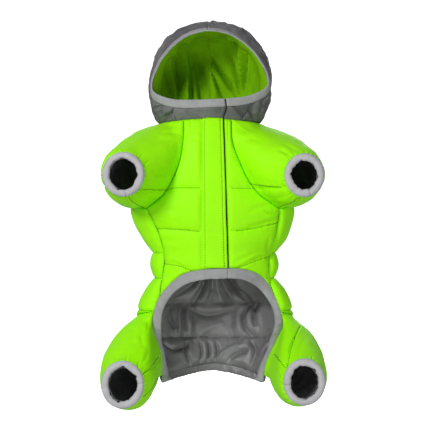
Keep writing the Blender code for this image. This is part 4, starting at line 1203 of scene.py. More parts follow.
# %% The hood's form
def hood_rim(turns, edge="cloth"):
    """Points round the face opening, by neck angle: the tape's sewn edge or free edge."""
    side = np.where(np.asarray(turns) < 0, LEFT, RIGHT)
    half, height, depth, free_half, free_height = read(
        HOOD_RIM, "turn", ("half", "height", "depth", "free_half", "free_height"),
        np.degrees(np.abs(turns)))
    seen = np.hypot(free_half - half, free_height - height)
    if edge == "free":
        forward = np.sqrt(np.maximum(HOOD_TAPE**2 - seen**2, 0))
        half, height, depth = free_half, free_height, depth - forward
    tilt = math.radians(HOOD_TILT)
    up = height - HOOD_PIVOT
    x = side * half * math.cos(tilt) - up * math.sin(tilt)
    z = side * half * math.sin(tilt) + up * math.cos(tilt)
    return np.stack([HOOD_MIDDLE + x, depth, z + HOOD_PIVOT], axis=-1)


def bezier(start, leave, arrive, end, steps):
    """Rows of points along cubic curves, one curve for each column."""
    t = np.asarray(steps)[:, None, None]
    return ((1 - t)**3 * start + 3 * (1 - t)**2 * t * leave
            + 3 * (1 - t) * t**2 * arrive + t**3 * end)


def hood_grid(turns, steps):
    """The hood's cloth from the neck seam to the tape, for signed neck angles."""
    neck, rim = trunk(turns, 0.0), hood_rim(turns)
    names = ("neck_out", "neck_up", "rim_out", "rim_back", "rim_up")
    neck_out, neck_up, rim_out, rim_back, rim_up = read(
        HOOD_PULL, "turn", names, np.degrees(np.abs(turns)))
    side = np.where(np.asarray(turns) < 0, LEFT, RIGHT)
    lean = HOOD_LEAN * np.sin(np.abs(turns) / 2)**3
    leave = neck + np.stack([np.sin(turns) * neck_out, -np.cos(turns) * neck_out, neck_up],
                            axis=-1)
    arrive = rim + np.stack([side * rim_out + lean, rim_back, rim_up], axis=-1)
    return bezier(neck, leave, arrive, rim, steps)

# %% Make the zip tape and its teeth
ZIP_REACH, ZIP_COLUMNS, TEETH_COLUMN = (-6.0, 11.0), 12, 4     # across from the flap's edge


def make_zip():
    """The zip's tape from the face opening to the belly opening, and its teeth."""
    offsets = np.linspace(*ZIP_REACH, ZIP_COLUMNS)
    at_neck = trunk_turn(FLAP_RIGHT + offsets, 0.0)
    rim, free = hood_rim(at_neck), hood_rim(at_neck, "free")
    collar = hood_grid(at_neck, np.linspace(0, 1, 9))
    collar = np.concatenate([collar, [rim + (free - rim) * 0.5, rim + (free - rim) * 0.93]])[::-1]
    drops = np.linspace(2, FLAP_LENGTH - 3, 110)[:, None]
    body = trunk(trunk_turn(flap_edge(drops) + offsets, drops), drops)
    grid = np.concatenate([collar, body])
    face = normals(grid, False, toward=(0, -1, 0))
    raised = -CLOTH - 0.2 + 0.12 * rumple(grid, 6, 2)
    # the tape's near-black finish also paints the shade in the gap beside the flap
    tape, outer = shell("zip_tape_cloth", grid, face, raised, 1.0, zip_cloth_and_gap_shade)
    cut(tape, grid, allowance=1.0)
    line, up = outer[:, TEETH_COLUMN], face[:, TEETH_COLUMN]
    teeth = sew("zip_teeth", [(line + up * 0.5, up)], zip_plastic_and_gap_shade, 1.7, 1.1, 0.75, sides=6)
    dressed(tape, "zip_tape", "zip_tape")
    dressed(teeth, "zip_tape")


make_zip()

# %% [markdown]
# ## Sleeves and hind legs
#
# Each leg is a short padded tube from its seam on the body to a small elastic cuff that
# faces the belly side.  The tube's rows run from the seam to the cuff, its columns round
# the leg by a clock angle.  Beside the cuff the elastic draws the cloth into many small
# gathers, deep at the tape and gone a couple of centimetres up.

# %% Seams of the legs
def sleeve_root(side):
    """Sleeve seam: clock angles, points and directions; neck, back raglan, front raglan."""
    corner = float(trunk_turn(seam_x(side, 0.0), 0.0))
    nape = side * (math.pi - back_reach(side, 0.0))
    neck = np.linspace(corner, nape, NECK_COLUMNS, endpoint=False)
    rows = np.array(column(BACK_RAGLAN, "drop") + [UNDERARM], float)
    rear = np.array([side * (math.pi - back_reach(side, drop)) for drop in rows])
    chest = chest_drops()[1]
    front_rows = chest[chest <= UNDERARM][::-1]
    front = trunk_turn(seam_x(side, front_rows), front_rows)
    clocks = np.concatenate([
        np.linspace(*NECK_CLOCKS, NECK_COLUMNS, endpoint=False),
        np.linspace(NECK_CLOCKS[1], UNDERARM_CLOCK, len(rear)),
        np.linspace(UNDERARM_CLOCK, NECK_CLOCKS[0] + 360, len(front))[1:-1],
    ])
    turns = np.concatenate([neck, rear, front[1:-1]])
    drops = np.concatenate([np.zeros(NECK_COLUMNS), rows, front_rows[1:-1]])
    return clocks, *on_trunk(turns, drops)


def leg_root(side):
    """Leg seam: clock angles, points and directions; down the back, up the opening's edge."""
    rows = np.array([LEG_TOP] + column(LEG_SEAM, "drop"), float)
    rear = np.array([side * (math.pi - back_reach(side, drop)) for drop in rows])
    stations = opening_station(np.linspace(LEG_BOTTOM, LEG_TOP, LEG_EDGE_COLUMNS + 1))
    x, drops = opening(side, stations[:-1])
    front = trunk_turn(x, drops)
    top, hem = LEG_CLOCKS
    clocks = np.concatenate([
        np.linspace(top, hem, len(rear))[:-1],
        np.linspace(hem, top + 360, len(front) + 1)[:-1],
    ])
    points, directions = (np.concatenate([a[:-1], (a[-1:] + b[:1]) / 2, b[1:]])
                          for a, b in zip(on_trunk(rear, rows), on_trunk(front, drops)))
    return clocks, points, unit(directions)

# %% Form of a leg
def limb_form(side, clocks, seam, loft, cuff):
    """Main grid of a leg's cloth from its seam to its cuff."""
    wrapped = [row._replace(clock=row.clock - 360) for row in loft[-2:]] + loft
    wrapped += [row._replace(clock=row.clock + 360) for row in loft[:2]]
    names = ("out", "back", "up", "flare", "cuff_back")
    out, back_way, up, flare, cuff_back = read(wrapped, "clock", names, clocks)
    angle = np.radians(clocks)
    across, climb = side * np.sin(angle), np.cos(angle)
    flare = flare + cuff.full + cuff.sag * np.maximum(-climb, 0)
    end = np.stack([cuff.x + across * cuff.half_width, np.full(len(angle), float(cuff.y)),
                    cuff.z + climb * cuff.half_height], axis=-1)
    leave = seam + np.stack([side * out, back_way, up], axis=-1)
    arrive = end + np.stack([across * flare, cuff_back, climb * flare], axis=-1)
    grid = bezier(seam, leave, arrive, end, np.linspace(0, 1, LIMB_ROWS)**0.9)
    for _ in range(LIMB_SOFTENING):
        beside = np.roll(grid, 1, axis=1) + np.roll(grid, -1, axis=1)
        grid[1:-1] = grid[1:-1] / 2 + beside[1:-1] / 4
    return grid


def round_trip(values, at):
    """A closed row of values read smoothly at fractional column numbers."""
    wide = np.concatenate([values[-3:], values, values[:4]])
    return respread(wide, np.asarray(at) + 3)


def cornered(seam, corners, at):
    """A closed seam read smoothly between its corners, which stay sharp."""
    count = len(seam)
    found = np.zeros((len(at), 3))
    for first, last in zip(corners, (*corners[1:], corners[0] + count)):
        span = seam[np.arange(first, last + 1) % count]
        inside = (at >= first) & (at <= last)
        found[inside] = respread(span, at[inside] - first)
    return found


LIMB_AROUND, LIMB_ALONG, LIMB_LENGTH = 235, 64, 90


def fine_limb(side, root, loft, cuff, corners):
    """Fine grid of a leg, its clock angles, each row's share of the way, the seam's faces."""
    clocks, seam, seam_face = root
    grid = limb_form(side, clocks, seam, loft, cuff)
    count = len(seam)
    at = np.arange(LIMB_AROUND) * count / LIMB_AROUND
    fine = np.moveaxis(round_trip(np.moveaxis(grid, 1, 0), at), 0, 1)
    change = cornered(seam, corners, at) - fine[0]
    fade = (1 - np.linspace(0, 1, len(grid)))**4
    fine = fine + change[None] * fade[:, None, None]
    shares = fine_steps(LIMB_LENGTH, LIMB_LENGTH / LIMB_ALONG)
    fine = respread(fine, shares * (len(grid) - 1))
    turns = np.interp(at, np.arange(count + 1), np.append(clocks, clocks[0] + 360))
    return fine, np.radians(turns), shares, unit(cornered(seam_face, corners, at))

# %% Gathers beside a cuff
GATHER_ROUND = 10               # the ring on which the gathers' unevenness is read


def on_ring(turns):
    """Points on a ring, so that an uneven wave closes on itself."""
    return np.stack([np.cos(turns), np.sin(turns), np.zeros_like(turns)], axis=-1) * GATHER_ROUND


def gathers(turns, way, count, seed, depth, reach):
    """Narrow troughs round a leg, deepest at the cuff, each of its own length and depth."""
    ring = on_ring(turns)
    wobble = 3.2 * rumple(ring, 5, seed)
    wave = (0.5 + 0.5 * np.cos(count * turns + wobble * 2.4))**5
    wave = wave * np.clip(0.55 + 0.9 * rumple(ring, 3.1, seed + 9), 0.08, 1.3)
    lengths = reach * np.clip(1 + 1.0 * rumple(ring, 2.0, seed + 5), 0.35, 2.2)
    return -depth * wave[None] * near(way, lengths[None], 1.3)

# %% [markdown]
# Each leg carries one quilt line, and a seam runs from its cuff to the body.  Each is a
# narrow trough.  The quilt line goes round the whole leg, so it is made from the height of
# the points; the seams that only show from the front are drawn.  The first two lines of
# each table below are sewn as well as pressed in; their dark thread is painted shade along
# the trough.

# %% Folds of the legs
SLEEVE_FOLDS = {
    LEFT: fold_table(
        (127.5, 195, 131, 200, 145, 208.5, 2.6, 1.2, 0.6),
        (126, 189, 144, 189.5, 167, 190, 1.1, 1.2, 0.4),
        (124, 183, 131, 187, 146, 190, 0.9, 1.6, 0.4),
        (159, 136, 170, 134.5, 182, 133.5, 0.8, 2.4, 0.5),
        (150, 148, 160, 143, 172, 141, 0.5, 3.5, 0.4),
        (147, 170, 156, 174, 168, 172, 0.6, 3.2, 0.4),
        (150, 196, 158, 200, 168, 197, 0.7, 3.0, 0.5),
        (122, 150, 128, 143, 139, 137, 0.5, 3.0, 0.4),
        (146, 180, 152, 192, 150, 204, 0.5, 3.0, 0.4)),
    RIGHT: fold_table(
        (311, 189.5, 303, 194.5, 292, 202, 278, 207.5, 2.6, 1.2, 0.6),
        (243, 183.5, 258, 185, 272, 186.5, 283, 187.5, 1.2, 1.3, 0.4),
        (279, 151.5, 285, 153.5, 291, 158, 1.3, 1.8, 0.7),
        (284, 147, 291, 149, 298, 153, 0.8, 1.8, 0.5),
        (237, 143, 250, 141, 264, 144, 0.6, 3.2, 0.5),
        (256, 171, 268, 168, 282, 170, 0.5, 3.5, 0.4),
        (264, 192, 276, 196, 290, 193, 0.6, 3.0, 0.5),
        (284, 206.5, 290, 209, 297, 208, 1.2, 1.8, 0.6),
        (272, 202, 281, 200, 292, 201, 0.7, 2.0, 0.4)),
}
LEG_FOLDS = {
    LEFT: fold_table(
        (158, 357, 151, 367, 141, 375.5, 2.8, 1.3, 0.9),
        (158, 377, 152, 388, 142, 398, 1.8, 1.8, 0.8),
        (136, 313, 144, 313.5, 153, 315.5, 1.0, 1.8, 0.5),
        (144, 331, 141, 340, 143, 350, 0.8, 2.6, 0.5),
        (121, 338, 128, 332, 137, 331, 0.8, 2.6, 0.5),
        (124, 352, 132, 346, 140, 345, 0.6, 3.0, 0.5),
        (150, 283, 156, 290, 157, 299, 0.7, 2.4, 0.5),
        (142, 296, 149, 300, 154, 307, 0.6, 2.6, 0.5),
        (147, 350, 144, 360, 138, 368, 0.7, 2.2, 0.5)),
    RIGHT: fold_table(
        (300, 326, 292, 346, 287, 369, 2.8, 1.2, 0.7),
        (274.5, 354, 280, 361, 286.5, 369, 2.5, 1.3, 0.8),
        (282, 304, 289, 306, 297, 312, 1.3, 1.9, 0.8),
        (272, 300, 279, 297, 288, 299, 0.8, 2.4, 0.5),
        (306, 337, 301, 348, 296, 359, 0.6, 2.8, 0.5),
        (272, 386, 281, 382, 289, 391, 0.8, 2.6, 0.5),
        (274, 278, 277, 288, 274, 298, 0.6, 2.4, 0.4),
        (278, 324, 284, 331, 285, 342, 0.6, 2.6, 0.4)),
}
SLEEVE_LINE, LEG_LINE = -89.0, -253.0
print("folds on the legs:", sum(len(folds) for folds in (*SLEEVE_FOLDS.values(),
                                                        *LEG_FOLDS.values())))

# %% Make the legs
Limb = namedtuple("Limb", "place cloth node root loft corners folds line inside")
LIMBS = [
    Limb("front", "sleeve", "sleeve", sleeve_root, SLEEVE_LOFT, (0, NECK_COLUMNS), SLEEVE_FOLDS,
         SLEEVE_LINE, dark_taffeta),
    Limb("hind", "leg", "hind_leg", leg_root, LEG_LOFT, (0, len(LEG_SEAM)), LEG_FOLDS,
         LEG_LINE, grey_taffeta),
]
LINE_TILT, GATHER_COUNT, LINE_BREAK = 0.04, 31, 6


def make_limb(limb, side, seed):
    """One padded leg; gives back its grid for the lining."""
    word = side_name(side)
    cuff, folds = CUFFS[f"{limb.place}_{word}"], limb.folds[side]
    grid, turns, shares, seam_face = fine_limb(side, limb.root(side), limb.loft, cuff,
                                               limb.corners)
    ways = border_ways(grid)
    top, bottom = ways["top"], ways["bottom"]
    face = meet(normals(grid, True), top, seam_face[None])
    level = np.abs(grid[..., 2] - limb.line - LINE_TILT * side * (grid[..., 0] - cuff.x))
    body = rise(top) * rise(bottom, 14)
    raised = ((LIMB_SWELL + 0.6) * np.sin(math.pi * shares[:, None])**0.8
              - 2.2 * near(level, 2.3, 1.1) * body)
    raised += 0.6 * puckers(grid, level, (1, 1, 0.25), 4.5) * body
    raised += gathers(turns, bottom, GATHER_COUNT, seed, 4.4, 6.5)    # drawn in by the elastic
    raised += 1.1 * rumple(grid, 27, seed) * body
    raised += 0.4 * rumple(grid, 11, seed + 1) * body
    raised += 0.7 * (puckers(grid, top, (0.7, 0.7, 0.7), 4.5, 6.0, seed + 2) * rise(top, 3))
    raised += fold_heights(grid, faces_viewer(face), folds)
    raised += seam_roll(top)
    raised += seam_roll(bottom, 1.2, 2.0)
    piece, outer = shell(f"{limb.cloth}_{word}_cloth", grid, face, raised, CLOTH, green_nylon,
                         limb.inside, closed=True)
    cut(piece, grid, closed=True)
    # dark stitches along the drawn seams: painted shade of their grooves
    sewn["seam"] += [drawn_run(outer, face, fold.line) for fold in folds[:2]]
    columns = np.nonzero(level.min(axis=0) < 2.0)[0]
    line, up = level_run(outer, face, limb.line - outer[..., 2], 0.0, columns)
    jumps = np.linalg.norm(np.diff(line, axis=0), axis=1)
    for part in np.split(np.arange(len(line)), np.nonzero(jumps > LINE_BREAK)[0] + 1):
        if len(part) > 8:
            sewn["green"].append((line[part], up[part]))
    dressed(piece, "green_nylon", f"{limb.node}_{word}")
    return grid


limb_grids = {}
for side, seed in ((LEFT, 11), (RIGHT, 21)):
    for number, limb in enumerate(LIMBS):
        limb_grids[limb.place, side] = make_limb(limb, side, seed + 5 * number)

# %% [markdown]
# ## Leg linings
#
# Through each cuff only a dark, slightly shiny lining shows, gathered where it meets the
# elastic.  It is a sleeve of its own inside the padded one.

# %% Make the linings
LINING_INSET, MOUTH_INSET, LINING_ROWS = 4.6, 1.6, 36


def make_limb_lining(limb, side, seed):
    """The lining that shows through a cuff, gathered at its mouth."""
    word, grid = side_name(side), limb_grids[limb.place, side]
    cuff = CUFFS[f"{limb.place}_{word}"]
    middle = grid.mean(axis=1, keepdims=True)
    deep = grid + unit(middle - grid) * LINING_INSET
    squeeze = 1 - (CUFF_TAPE - MOUTH_INSET) / cuff.half_width
    mouth = middle[-1] + (grid[-1] - middle[-1]) * squeeze + np.array([0, 0.6, 0])
    rows = deep[np.linspace(14, len(deep) - 12, 7).astype(int)]
    coarse = np.concatenate([rows, mouth[None]])[:, ::2]
    fine = respread(coarse, np.linspace(0, len(coarse) - 1, LINING_ROWS))
    ways = border_ways(fine)
    turns = np.linspace(0, 2 * math.pi, fine.shape[1], endpoint=False)
    raised = gathers(turns, ways["bottom"], 17, seed, 1.3, 12) - 0.2
    raised -= np.abs(rumple(fine, 9, seed)) * 1.6 * rise(ways["bottom"], 6)
    piece = shell(f"{limb.cloth}_{word}_inner", fine, normals(fine, True), raised, 0.8,
                  dark_taffeta, closed=True)[0]
    cut(piece, fine, closed=True)
    dressed(piece, "dark_lining", f"{limb.node}_{word}_lining")


for side, seed in ((LEFT, 31), (RIGHT, 41)):
    for number, limb in enumerate(LIMBS):
        make_limb_lining(limb, side, seed + 3 * number)

# %% [markdown]
# ## Cuffs
#
# A knitted elastic tape is folded over each raw edge.  The elastic gathers it too, so its
# inner edge is never quite round: it has small dents, and one overlap where the tape's ends
# are sewn together.  The ring is a closed section swept round the cuff.

# %% Make the cuffs
CUFF_JOINS = {"front_left": 172, "front_right": 160, "hind_left": 86, "hind_right": 262}
CUFF_POINTS, SECTION_POINTS = 168, 26           # round the cuff, and round its section


def make_cuff(limb, side, seed):
    """An elastic ring of tape, rolled in round the edge of a leg."""
    place, node = (f"{word}_{side_name(side)}" for word in (limb.place, limb.node))
    cuff = CUFFS[place]
    section = np.array(CUFF_SECTION + CUFF_SECTION[:1])
    around = np.linspace(0, len(CUFF_SECTION), SECTION_POINTS + 1)[:-1]
    wide = np.concatenate([section[-4:-1], section, section[1:4]])
    inward, behind = np.moveaxis(respread(wide, around + 3), 1, 0)[:, None]
    turns = np.linspace(0, 2 * math.pi, CUFF_POINTS, endpoint=False)
    ring = on_ring(math.pi / 2 - turns)
    share = np.clip(inward / CUFF_TAPE, 0, 1)
    ripple = 1.6 * rumple(ring, 5.0, seed) + 1.0 * rumple(ring, 1.6, seed + 1)
    nick = np.clip(rumple(ring, 2.2, seed + 7) - 0.35, 0, 1)
    edge = inward + (ripple - 3.4 * nick)[:, None] * share**3    # only its inner edge waves
    dent = 0.5 * rumple(ring, 1.7, seed + 2)[:, None] * (1 - share**2)
    off = (turns - math.radians(CUFF_JOINS[place]) + math.pi) % (2 * math.pi) - math.pi
    groove = near(off * cuff.half_width, 1.0)[:, None]    # where the tape's ends meet
    front = behind < -1.0
    x = cuff.x + np.sin(turns)[:, None] * (cuff.half_width - edge)
    z = cuff.z + np.cos(turns)[:, None] * (cuff.half_height - edge)
    y = cuff.y - 0.4 + (behind + dent * front + groove * 1.8 * front)
    points = np.stack([x, y, z], axis=-1)
    index = np.arange(x.size).reshape(x.shape)
    after = np.roll(index, -1, axis=0)
    faces = np.stack([index, after, np.roll(after, -1, axis=1), np.roll(index, -1, axis=1)], -1)
    piece = add_mesh(f"{place}_cuff_tape", points.reshape(-1, 3), faces.reshape(-1, 4),
                     [light_knit])
    dressed(piece, "light_tape", f"{node}_cuff")


for side, seed in ((LEFT, 51), (RIGHT, 61)):
    for number, limb in enumerate(LIMBS):
        make_cuff(limb, side, seed + 4 * number)

# %% [markdown]
# ## Hood
#
# The hood is two halves of thin grey nylon joined over the crown, two short collar bands
# beside the zip, and a green lining inside.  It stands open but empty, so the shell is
# crumpled: broad soft dents with sharper small ones between.  The lining hangs in long
# upright folds at the back, which is what the eye meets when it looks into the hood.

# %% Crumpled cloth
def crumple(points, size, seed):
    """Dents with creased edges, from 0 to 1."""
    return 1 - np.abs(rumple(points, size, seed) + 0.5 * rumple(points, size / 2, seed + 1))

# %% Parts of the hood
BAND = math.radians(BAND_TURN)
LEFT_START = float(trunk_turn(FLAP_RIGHT + 0.4, 0.0))
RIGHT_START = float(trunk_turn(FLAP_RIGHT + ZIP_OPEN, 0.0))
HOOD_INSIDE = (HOOD_MIDDLE, 0, 40)              # a point inside the hood
HoodPart = namedtuple("HoodPart", "start end width height across up allowance")
HOOD_PARTS = {                                  # angles, size in mm and spacing of the grid
    "collar_band_left": HoodPart(LEFT_START, -BAND, 60, 16, 1.2, 0.9, 3.0),
    "hood_shell_left": HoodPart(-BAND, -math.pi, 200, 200, 1.8, 2.1, ALLOWANCE),
    "hood_shell_right": HoodPart(math.pi, BAND, 200, 200, 1.8, 2.1, ALLOWANCE),
    "collar_band_right": HoodPart(BAND, RIGHT_START, 40, 16, 1.2, 0.9, 3.0),
}

# %% Folds of the hood
HOOD_FOLDS = {
    "collar_band_left": fold_table(
        (174, 106, 184, 111, 192, 120, 1.5, 2.2, 0.6),
        (184, 106, 192, 110, 202, 113, 0.9, 2.2, 0.4)),
    "collar_band_right": fold_table(
        (232, 104, 241, 113, 250, 124, 2.4, 2.6, 1.0)),
    "hood_shell_left": fold_table(
        (150, 110, 158, 107, 166, 105, 2.8, 2.0, 1.4),
        (179, 107, 173, 112, 163, 124, 3.2, 2.6, 1.6),
        (158, 122, 166, 116, 182, 113, 1.6, 2.4, 0.8),
        (152, 98, 160, 106, 162, 118, 1.8, 2.4, 0.8)),
    "hood_shell_right": fold_table(
        (232, 104, 241, 113, 250, 124, 2.4, 2.6, 1.0),
        (254, 100, 252, 109, 254, 122, 3.6, 4.0, 1.4),
        (266, 94, 261, 106, 258, 122, 2.2, 2.6, 1.2),
        (240, 108, 248, 111, 256, 109, 1.4, 2.4, 0.6)),
}

# %% Make the shells and collar bands
COLLAR_STITCHES, DEEPEST_DENT = (-11.5, 9.5), -2.4     # places across, and height in mm


def make_hood_part(name, part, seed):
    """A crumpled half of the hood, or a flat collar band beside the zip."""
    turns = part.start + (part.end - part.start) * fine_steps(part.width, part.across)
    grid = hood_grid(turns, fine_steps(part.height, part.up))
    ways = border_ways(grid)
    face = normals(grid, False, toward=grid - np.array(HOOD_INSIDE))
    face = meet(face, ways["top"], trunk_face(turns, 0.0)[None])
    edges = closest(ways, "first", "last", "top", "bottom")
    if "shell" in name:
        raised = (2.4 * crumple(grid, 30, seed) - 1.1) * rise(edges, 16)    # broad, then sharp
        raised += (3.0 * crumple(grid, 12, seed + 2) - 1.6) * rise(edges, 6)
        raised += 1.1 * puckers(grid, edges, (0.8, 0.8, 0.8), 5, 8, seed) * rise(edges, 3)
    else:
        raised = 0.35 * rumple(grid, 9, seed)
    raised += fold_heights(grid, faces_viewer(face), HOOD_FOLDS[name])
    raised = np.maximum(raised, DEEPEST_DENT) + seam_roll(edges, 1.2)
    piece, outer = shell(f"{name}_cloth", grid, face, raised, CLOTH, grey_nylon, grey_nylon)
    if name == "collar_band_left":
        for place in COLLAR_STITCHES:
            number = nearest(outer[4, :, 0], place)
            sewn["grey"].append((outer[1:-1, number], face[1:-1, number]))
    if "shell" in name:
        crown = nearest(ways["last" if "left" in name else "first"][60], 4.0)
        sewn["dark"].append((outer[3:-3, crown], face[3:-3, crown]))
    cut(piece, grid, allowance=part.allowance)
    dressed(piece, "grey_nylon", name)


for number, (name, part) in enumerate(HOOD_PARTS.items()):
    make_hood_part(name, part, 71 + number * 4)

# %% Folds of the hood's lining
HANGS = table("turn width depth",               # long folds, by angle round the neck
              (227, 5, 3.5), (208, 6, 5.0), (178, 8, 5.0), (151, 5, 5.0), (136, 5, 3.5))
LINING_FOLDS = fold_table(
    (157, 70, 161, 86, 168, 106, 8.0, 3.6, 1.0),
    (171, 48, 174, 76, 176, 108, 11.0, 4.6, 2.0),
    (181, 46, 181, 74, 184, 108, -6.0, 4.2, 0.0),
    (186, 54, 189, 80, 192, 108, 6.0, 2.8, 0.8),
    (190, 50, 197, 76, 203, 112, 15.0, 6.4, 2.0),
    (198, 70, 205, 88, 209, 112, 11.0, 5.0, 0.6),
    (202, 44, 211, 70, 219, 106, -6.0, 5.0, 0.0),
    (210, 54, 225, 78, 244, 106, 10.0, 3.4, 1.8),
    (212, 70, 219, 88, 228, 108, 6.0, 3.2, 0.8),
    (228, 48, 239, 74, 246, 104, 8.0, 3.4, 1.2),
    (246, 46, 248, 72, 247, 104, -5.0, 3.4, 0.0),
    (253, 50, 253, 74, 250, 100, 7.0, 3.0, 1.0),
    (262, 56, 259, 76, 256, 94, 5.0, 2.6, 0.8))

# %% Make the hood's lining
HALF_COLUMNS, HANG_INWARD = 116, 8.5


def make_hood_lining():
    """The green lining, from one side of the zip over the crown to the other."""
    turns = np.concatenate([
        np.linspace(LEFT_START - 0.10, -math.pi, HALF_COLUMNS),
        np.linspace(math.pi, RIGHT_START + 0.12, HALF_COLUMNS)[1:]])
    grid = hood_grid(turns, fine_steps(200, 2.0))
    face = normals(grid, False, toward=grid - np.array(HOOD_INSIDE))
    edges = closest(border_ways(grid), "top", "bottom")
    degrees = np.degrees(turns) % 360
    inward = HANG_INWARD + sum(fold.depth * near(degrees - fold.turn, fold.width)
                               for fold in HANGS)[None]
    inward = inward + fold_heights(grid, faces_viewer(face, 1), LINING_FOLDS)
    inward += 0.9 * rumple(grid * np.array([1, 1, 0.5]), 15, 91)
    raised = -CLOTH - 0.8 - 2.4 * rise(edges, 4) - np.maximum(inward, -1) * rise(edges, 14)
    # its darker green is painted shade for the inside of the hood
    piece = shell("hood_lining_cloth", grid, face, raised, LINING, green_fleece)[0]
    cut(piece, grid)
    dressed(piece, "green_fleece", "hood_lining")


make_hood_lining()

# %% [markdown]
# ## Binding tape
#
# The raw edges round the face and the belly opening are bound with the same knitted tape.
# It is stitched to the cloth on one side and folded over to the other, so it is a soft
# ribbon, a little thicker in the middle.  Tape on a curve never lies quite flat: its free
# edge is a trifle too long and waves.

# %% A ribbon of tape
TAPE_GAP = 0.2                                  # between the cloth's edge and the tape
TAPE_SHARES = np.array([0, 0.04, 0.1, 0.2, 0.35, 0.5, 0.65, 0.8, 0.9, 0.96, 1.0])


def tape_form(edge, face, free, thickness):
    """Grid and normals of tape from a cloth edge to the tape's own free edge."""
    along = np.gradient(edge, axis=0)
    off = unit(np.cross(along, face))
    off = off * np.sign(np.sum(off * (free - edge)))
    own = unit(np.cross(along, free - edge))
    own = own * np.sign(np.sum(own * face))
    turned = np.clip(-np.sum(unit(free - edge) * face, axis=1), 0, 1)[:, None]
    start = edge + off * TAPE_GAP
    middle = (edge + free) / 2 + off * (TAPE_GAP + thickness * turned)
    return (np.stack([start, middle, free + off * TAPE_GAP]),
            np.stack([face, unit(own + face * 0.3), own]))


def make_tape(name, node, edge, face, free, seed, finish=light_tape, slot="light_tape",
              thickness=TAPE, wave=0.35, gather=0.0, crown=0.9):
    """A ribbon of tape, softly crowned, from its sewn edge to its free edge."""
    grid, own = tape_form(edge, face, free, thickness)
    grid, own = respread(grid, TAPE_SHARES * 2), unit(respread(own, TAPE_SHARES * 2))
    share = TAPE_SHARES[:, None]
    ways = border_ways(grid)
    move = wave * rumple(grid, 15, seed) * share + 0.6 * wave * rumple(grid, 6, seed + 1) * share
    move += gather * rumple(grid * np.array([1, 0.3, 0.3]), 3.4, seed + 2) * (0.35 + share)
    grid = grid + own * move[..., None]
    raised = 0.2 + crown * (1 - (2 * share - 1)**4)
    raised = raised - 1.3 * near(closest(ways, "first", "last"), 0.8)   # sewn-down ends
    raised -= 0.5 * near(ways["top"], 0.7)                              # its row of stitches
    raised += 0.15 * rumple(grid, 4, seed + 4)
    piece, outer = shell(name, grid, own, raised, thickness, finish)
    ways = border_ways(grid)
    dressed(piece, slot, node)
    return outer, own

# %% Tape round the face opening
FACE_COLUMNS, FACE_TAPE = 300, 1.5


def make_face_binding(side, seed):
    """Tape along one half of the hood's rim, from the zip to the crown."""
    start = LEFT_START if side == LEFT else RIGHT_START
    turns = np.linspace(start, side * math.pi, FACE_COLUMNS)
    edge = hood_rim(turns)
    before = hood_grid(turns, np.array([0.93, 1.0]))
    face = unit(np.cross(np.gradient(edge, axis=0), before[1] - before[0]))
    outward = edge - np.array([HOOD_MIDDLE, 20, 55])
    face = face * np.sign(np.sum(face * outward, axis=1, keepdims=True))
    word = side_name(side)
    make_tape(f"face_tape_{word}", f"face_binding_{word}", edge, face, hood_rim(turns, "free"),
              seed, thickness=FACE_TAPE, crown=0.6)


for side, seed in ((LEFT, 95), (RIGHT, 97)):
    make_face_binding(side, seed)

# %% Tape round the belly opening
ARCH_COLUMNS, SIDE_COLUMNS, CORNER_COLUMNS = 190, 90, 13


def make_belly_binding(side, seed):
    """Tape round one half of the belly opening, down to the hem's corner."""
    stations = np.concatenate([
        np.linspace(0, opening_station(LEG_TOP), ARCH_COLUMNS),
        opening_station(np.linspace(LEG_TOP, LEG_BOTTOM, SIDE_COLUMNS)[1:])])
    x, drop = opening(side, stations)
    turns = trunk_turn(x, drop)
    edge, face = on_trunk(turns, drop)
    free_x, free_drop = opening(side, stations, "in")
    seen = np.hypot(free_x - x, free_drop - drop)
    turned = np.sqrt(np.maximum(TAPE_WIDTH**2 - seen**2, 0))
    free = np.stack([free_x, edge[:, 1] + turned, -free_drop], axis=-1)
    corner = trunk(turns[-1], LEG_BOTTOM + HEM_WIDTH - 1.5) + np.array([side * 2.5, -2.0, 2.0])
    steps = np.linspace(0, 1, CORNER_COLUMNS + 1)[1:, None]
    flare = np.concatenate([1 + 0.8 * steps**2, 1 + 0 * steps, 0.4 + 0 * steps], axis=1)
    last = free[-1] - edge[-1]
    edge = np.concatenate([edge, edge[-1] + (corner - edge[-1]) * steps])
    free = np.concatenate([free, edge[-CORNER_COLUMNS:] + last * flare])
    face = np.concatenate([face, np.repeat(face[-1:], CORNER_COLUMNS, axis=0)])
    word = side_name(side)
    make_tape(f"belly_tape_{word}", f"belly_binding_{word}", edge, face, free,
              seed, wave=0.3)


for side, seed in ((LEFT, 101), (RIGHT, 105)):
    make_belly_binding(side, seed)

# %% [markdown]
# ## Hem casing and back lining
#
# Under the tail the lining turns into a casing with elastic inside, so the hem is drawn in
# and covered with fine gathers.  Above it the lower back's grey lining shows through the
# belly opening: quilted in big squares, shiny, and full of loose folds, because it is cut
# a little larger than the padded back that it lines.

# %% Make the hem casing
HEM_COLUMNS, HEM_TRIM, HEM_END = 200, 0.05, 14  # columns, share left off, columns of an end


def make_hem():
    """The casing under the tail, gathered by its elastic."""
    across = (BACK_COLUMNS - 1) * np.linspace(HEM_TRIM, 1 - HEM_TRIM, HEM_COLUMNS)
    turns, drops = (respread(values[-1], across)
                    for values in back_grid(BACK_COLUMNS, LEG_BOTTOM)[:2])
    upper, face = on_trunk(turns, drops)
    number = np.arange(HEM_COLUMNS)
    ends = np.minimum(number, number[::-1]) / HEM_END
    lower = trunk(turns, drops + HEM_WIDTH - 3.4 * near(ends, 1))
    lower[:, 1] -= HEM_PULL
    outer, own = make_tape("hem_cloth", "hem_casing", upper, face, lower, 111,
                           grey_taffeta, "grey_lining", HEM_WALL, 0.3, 0.75, 0.7)
    inner = outer - own * (HEM_WALL + 0.1)
    sewn["dark"].append((inner[1], -own[1]))


make_hem()

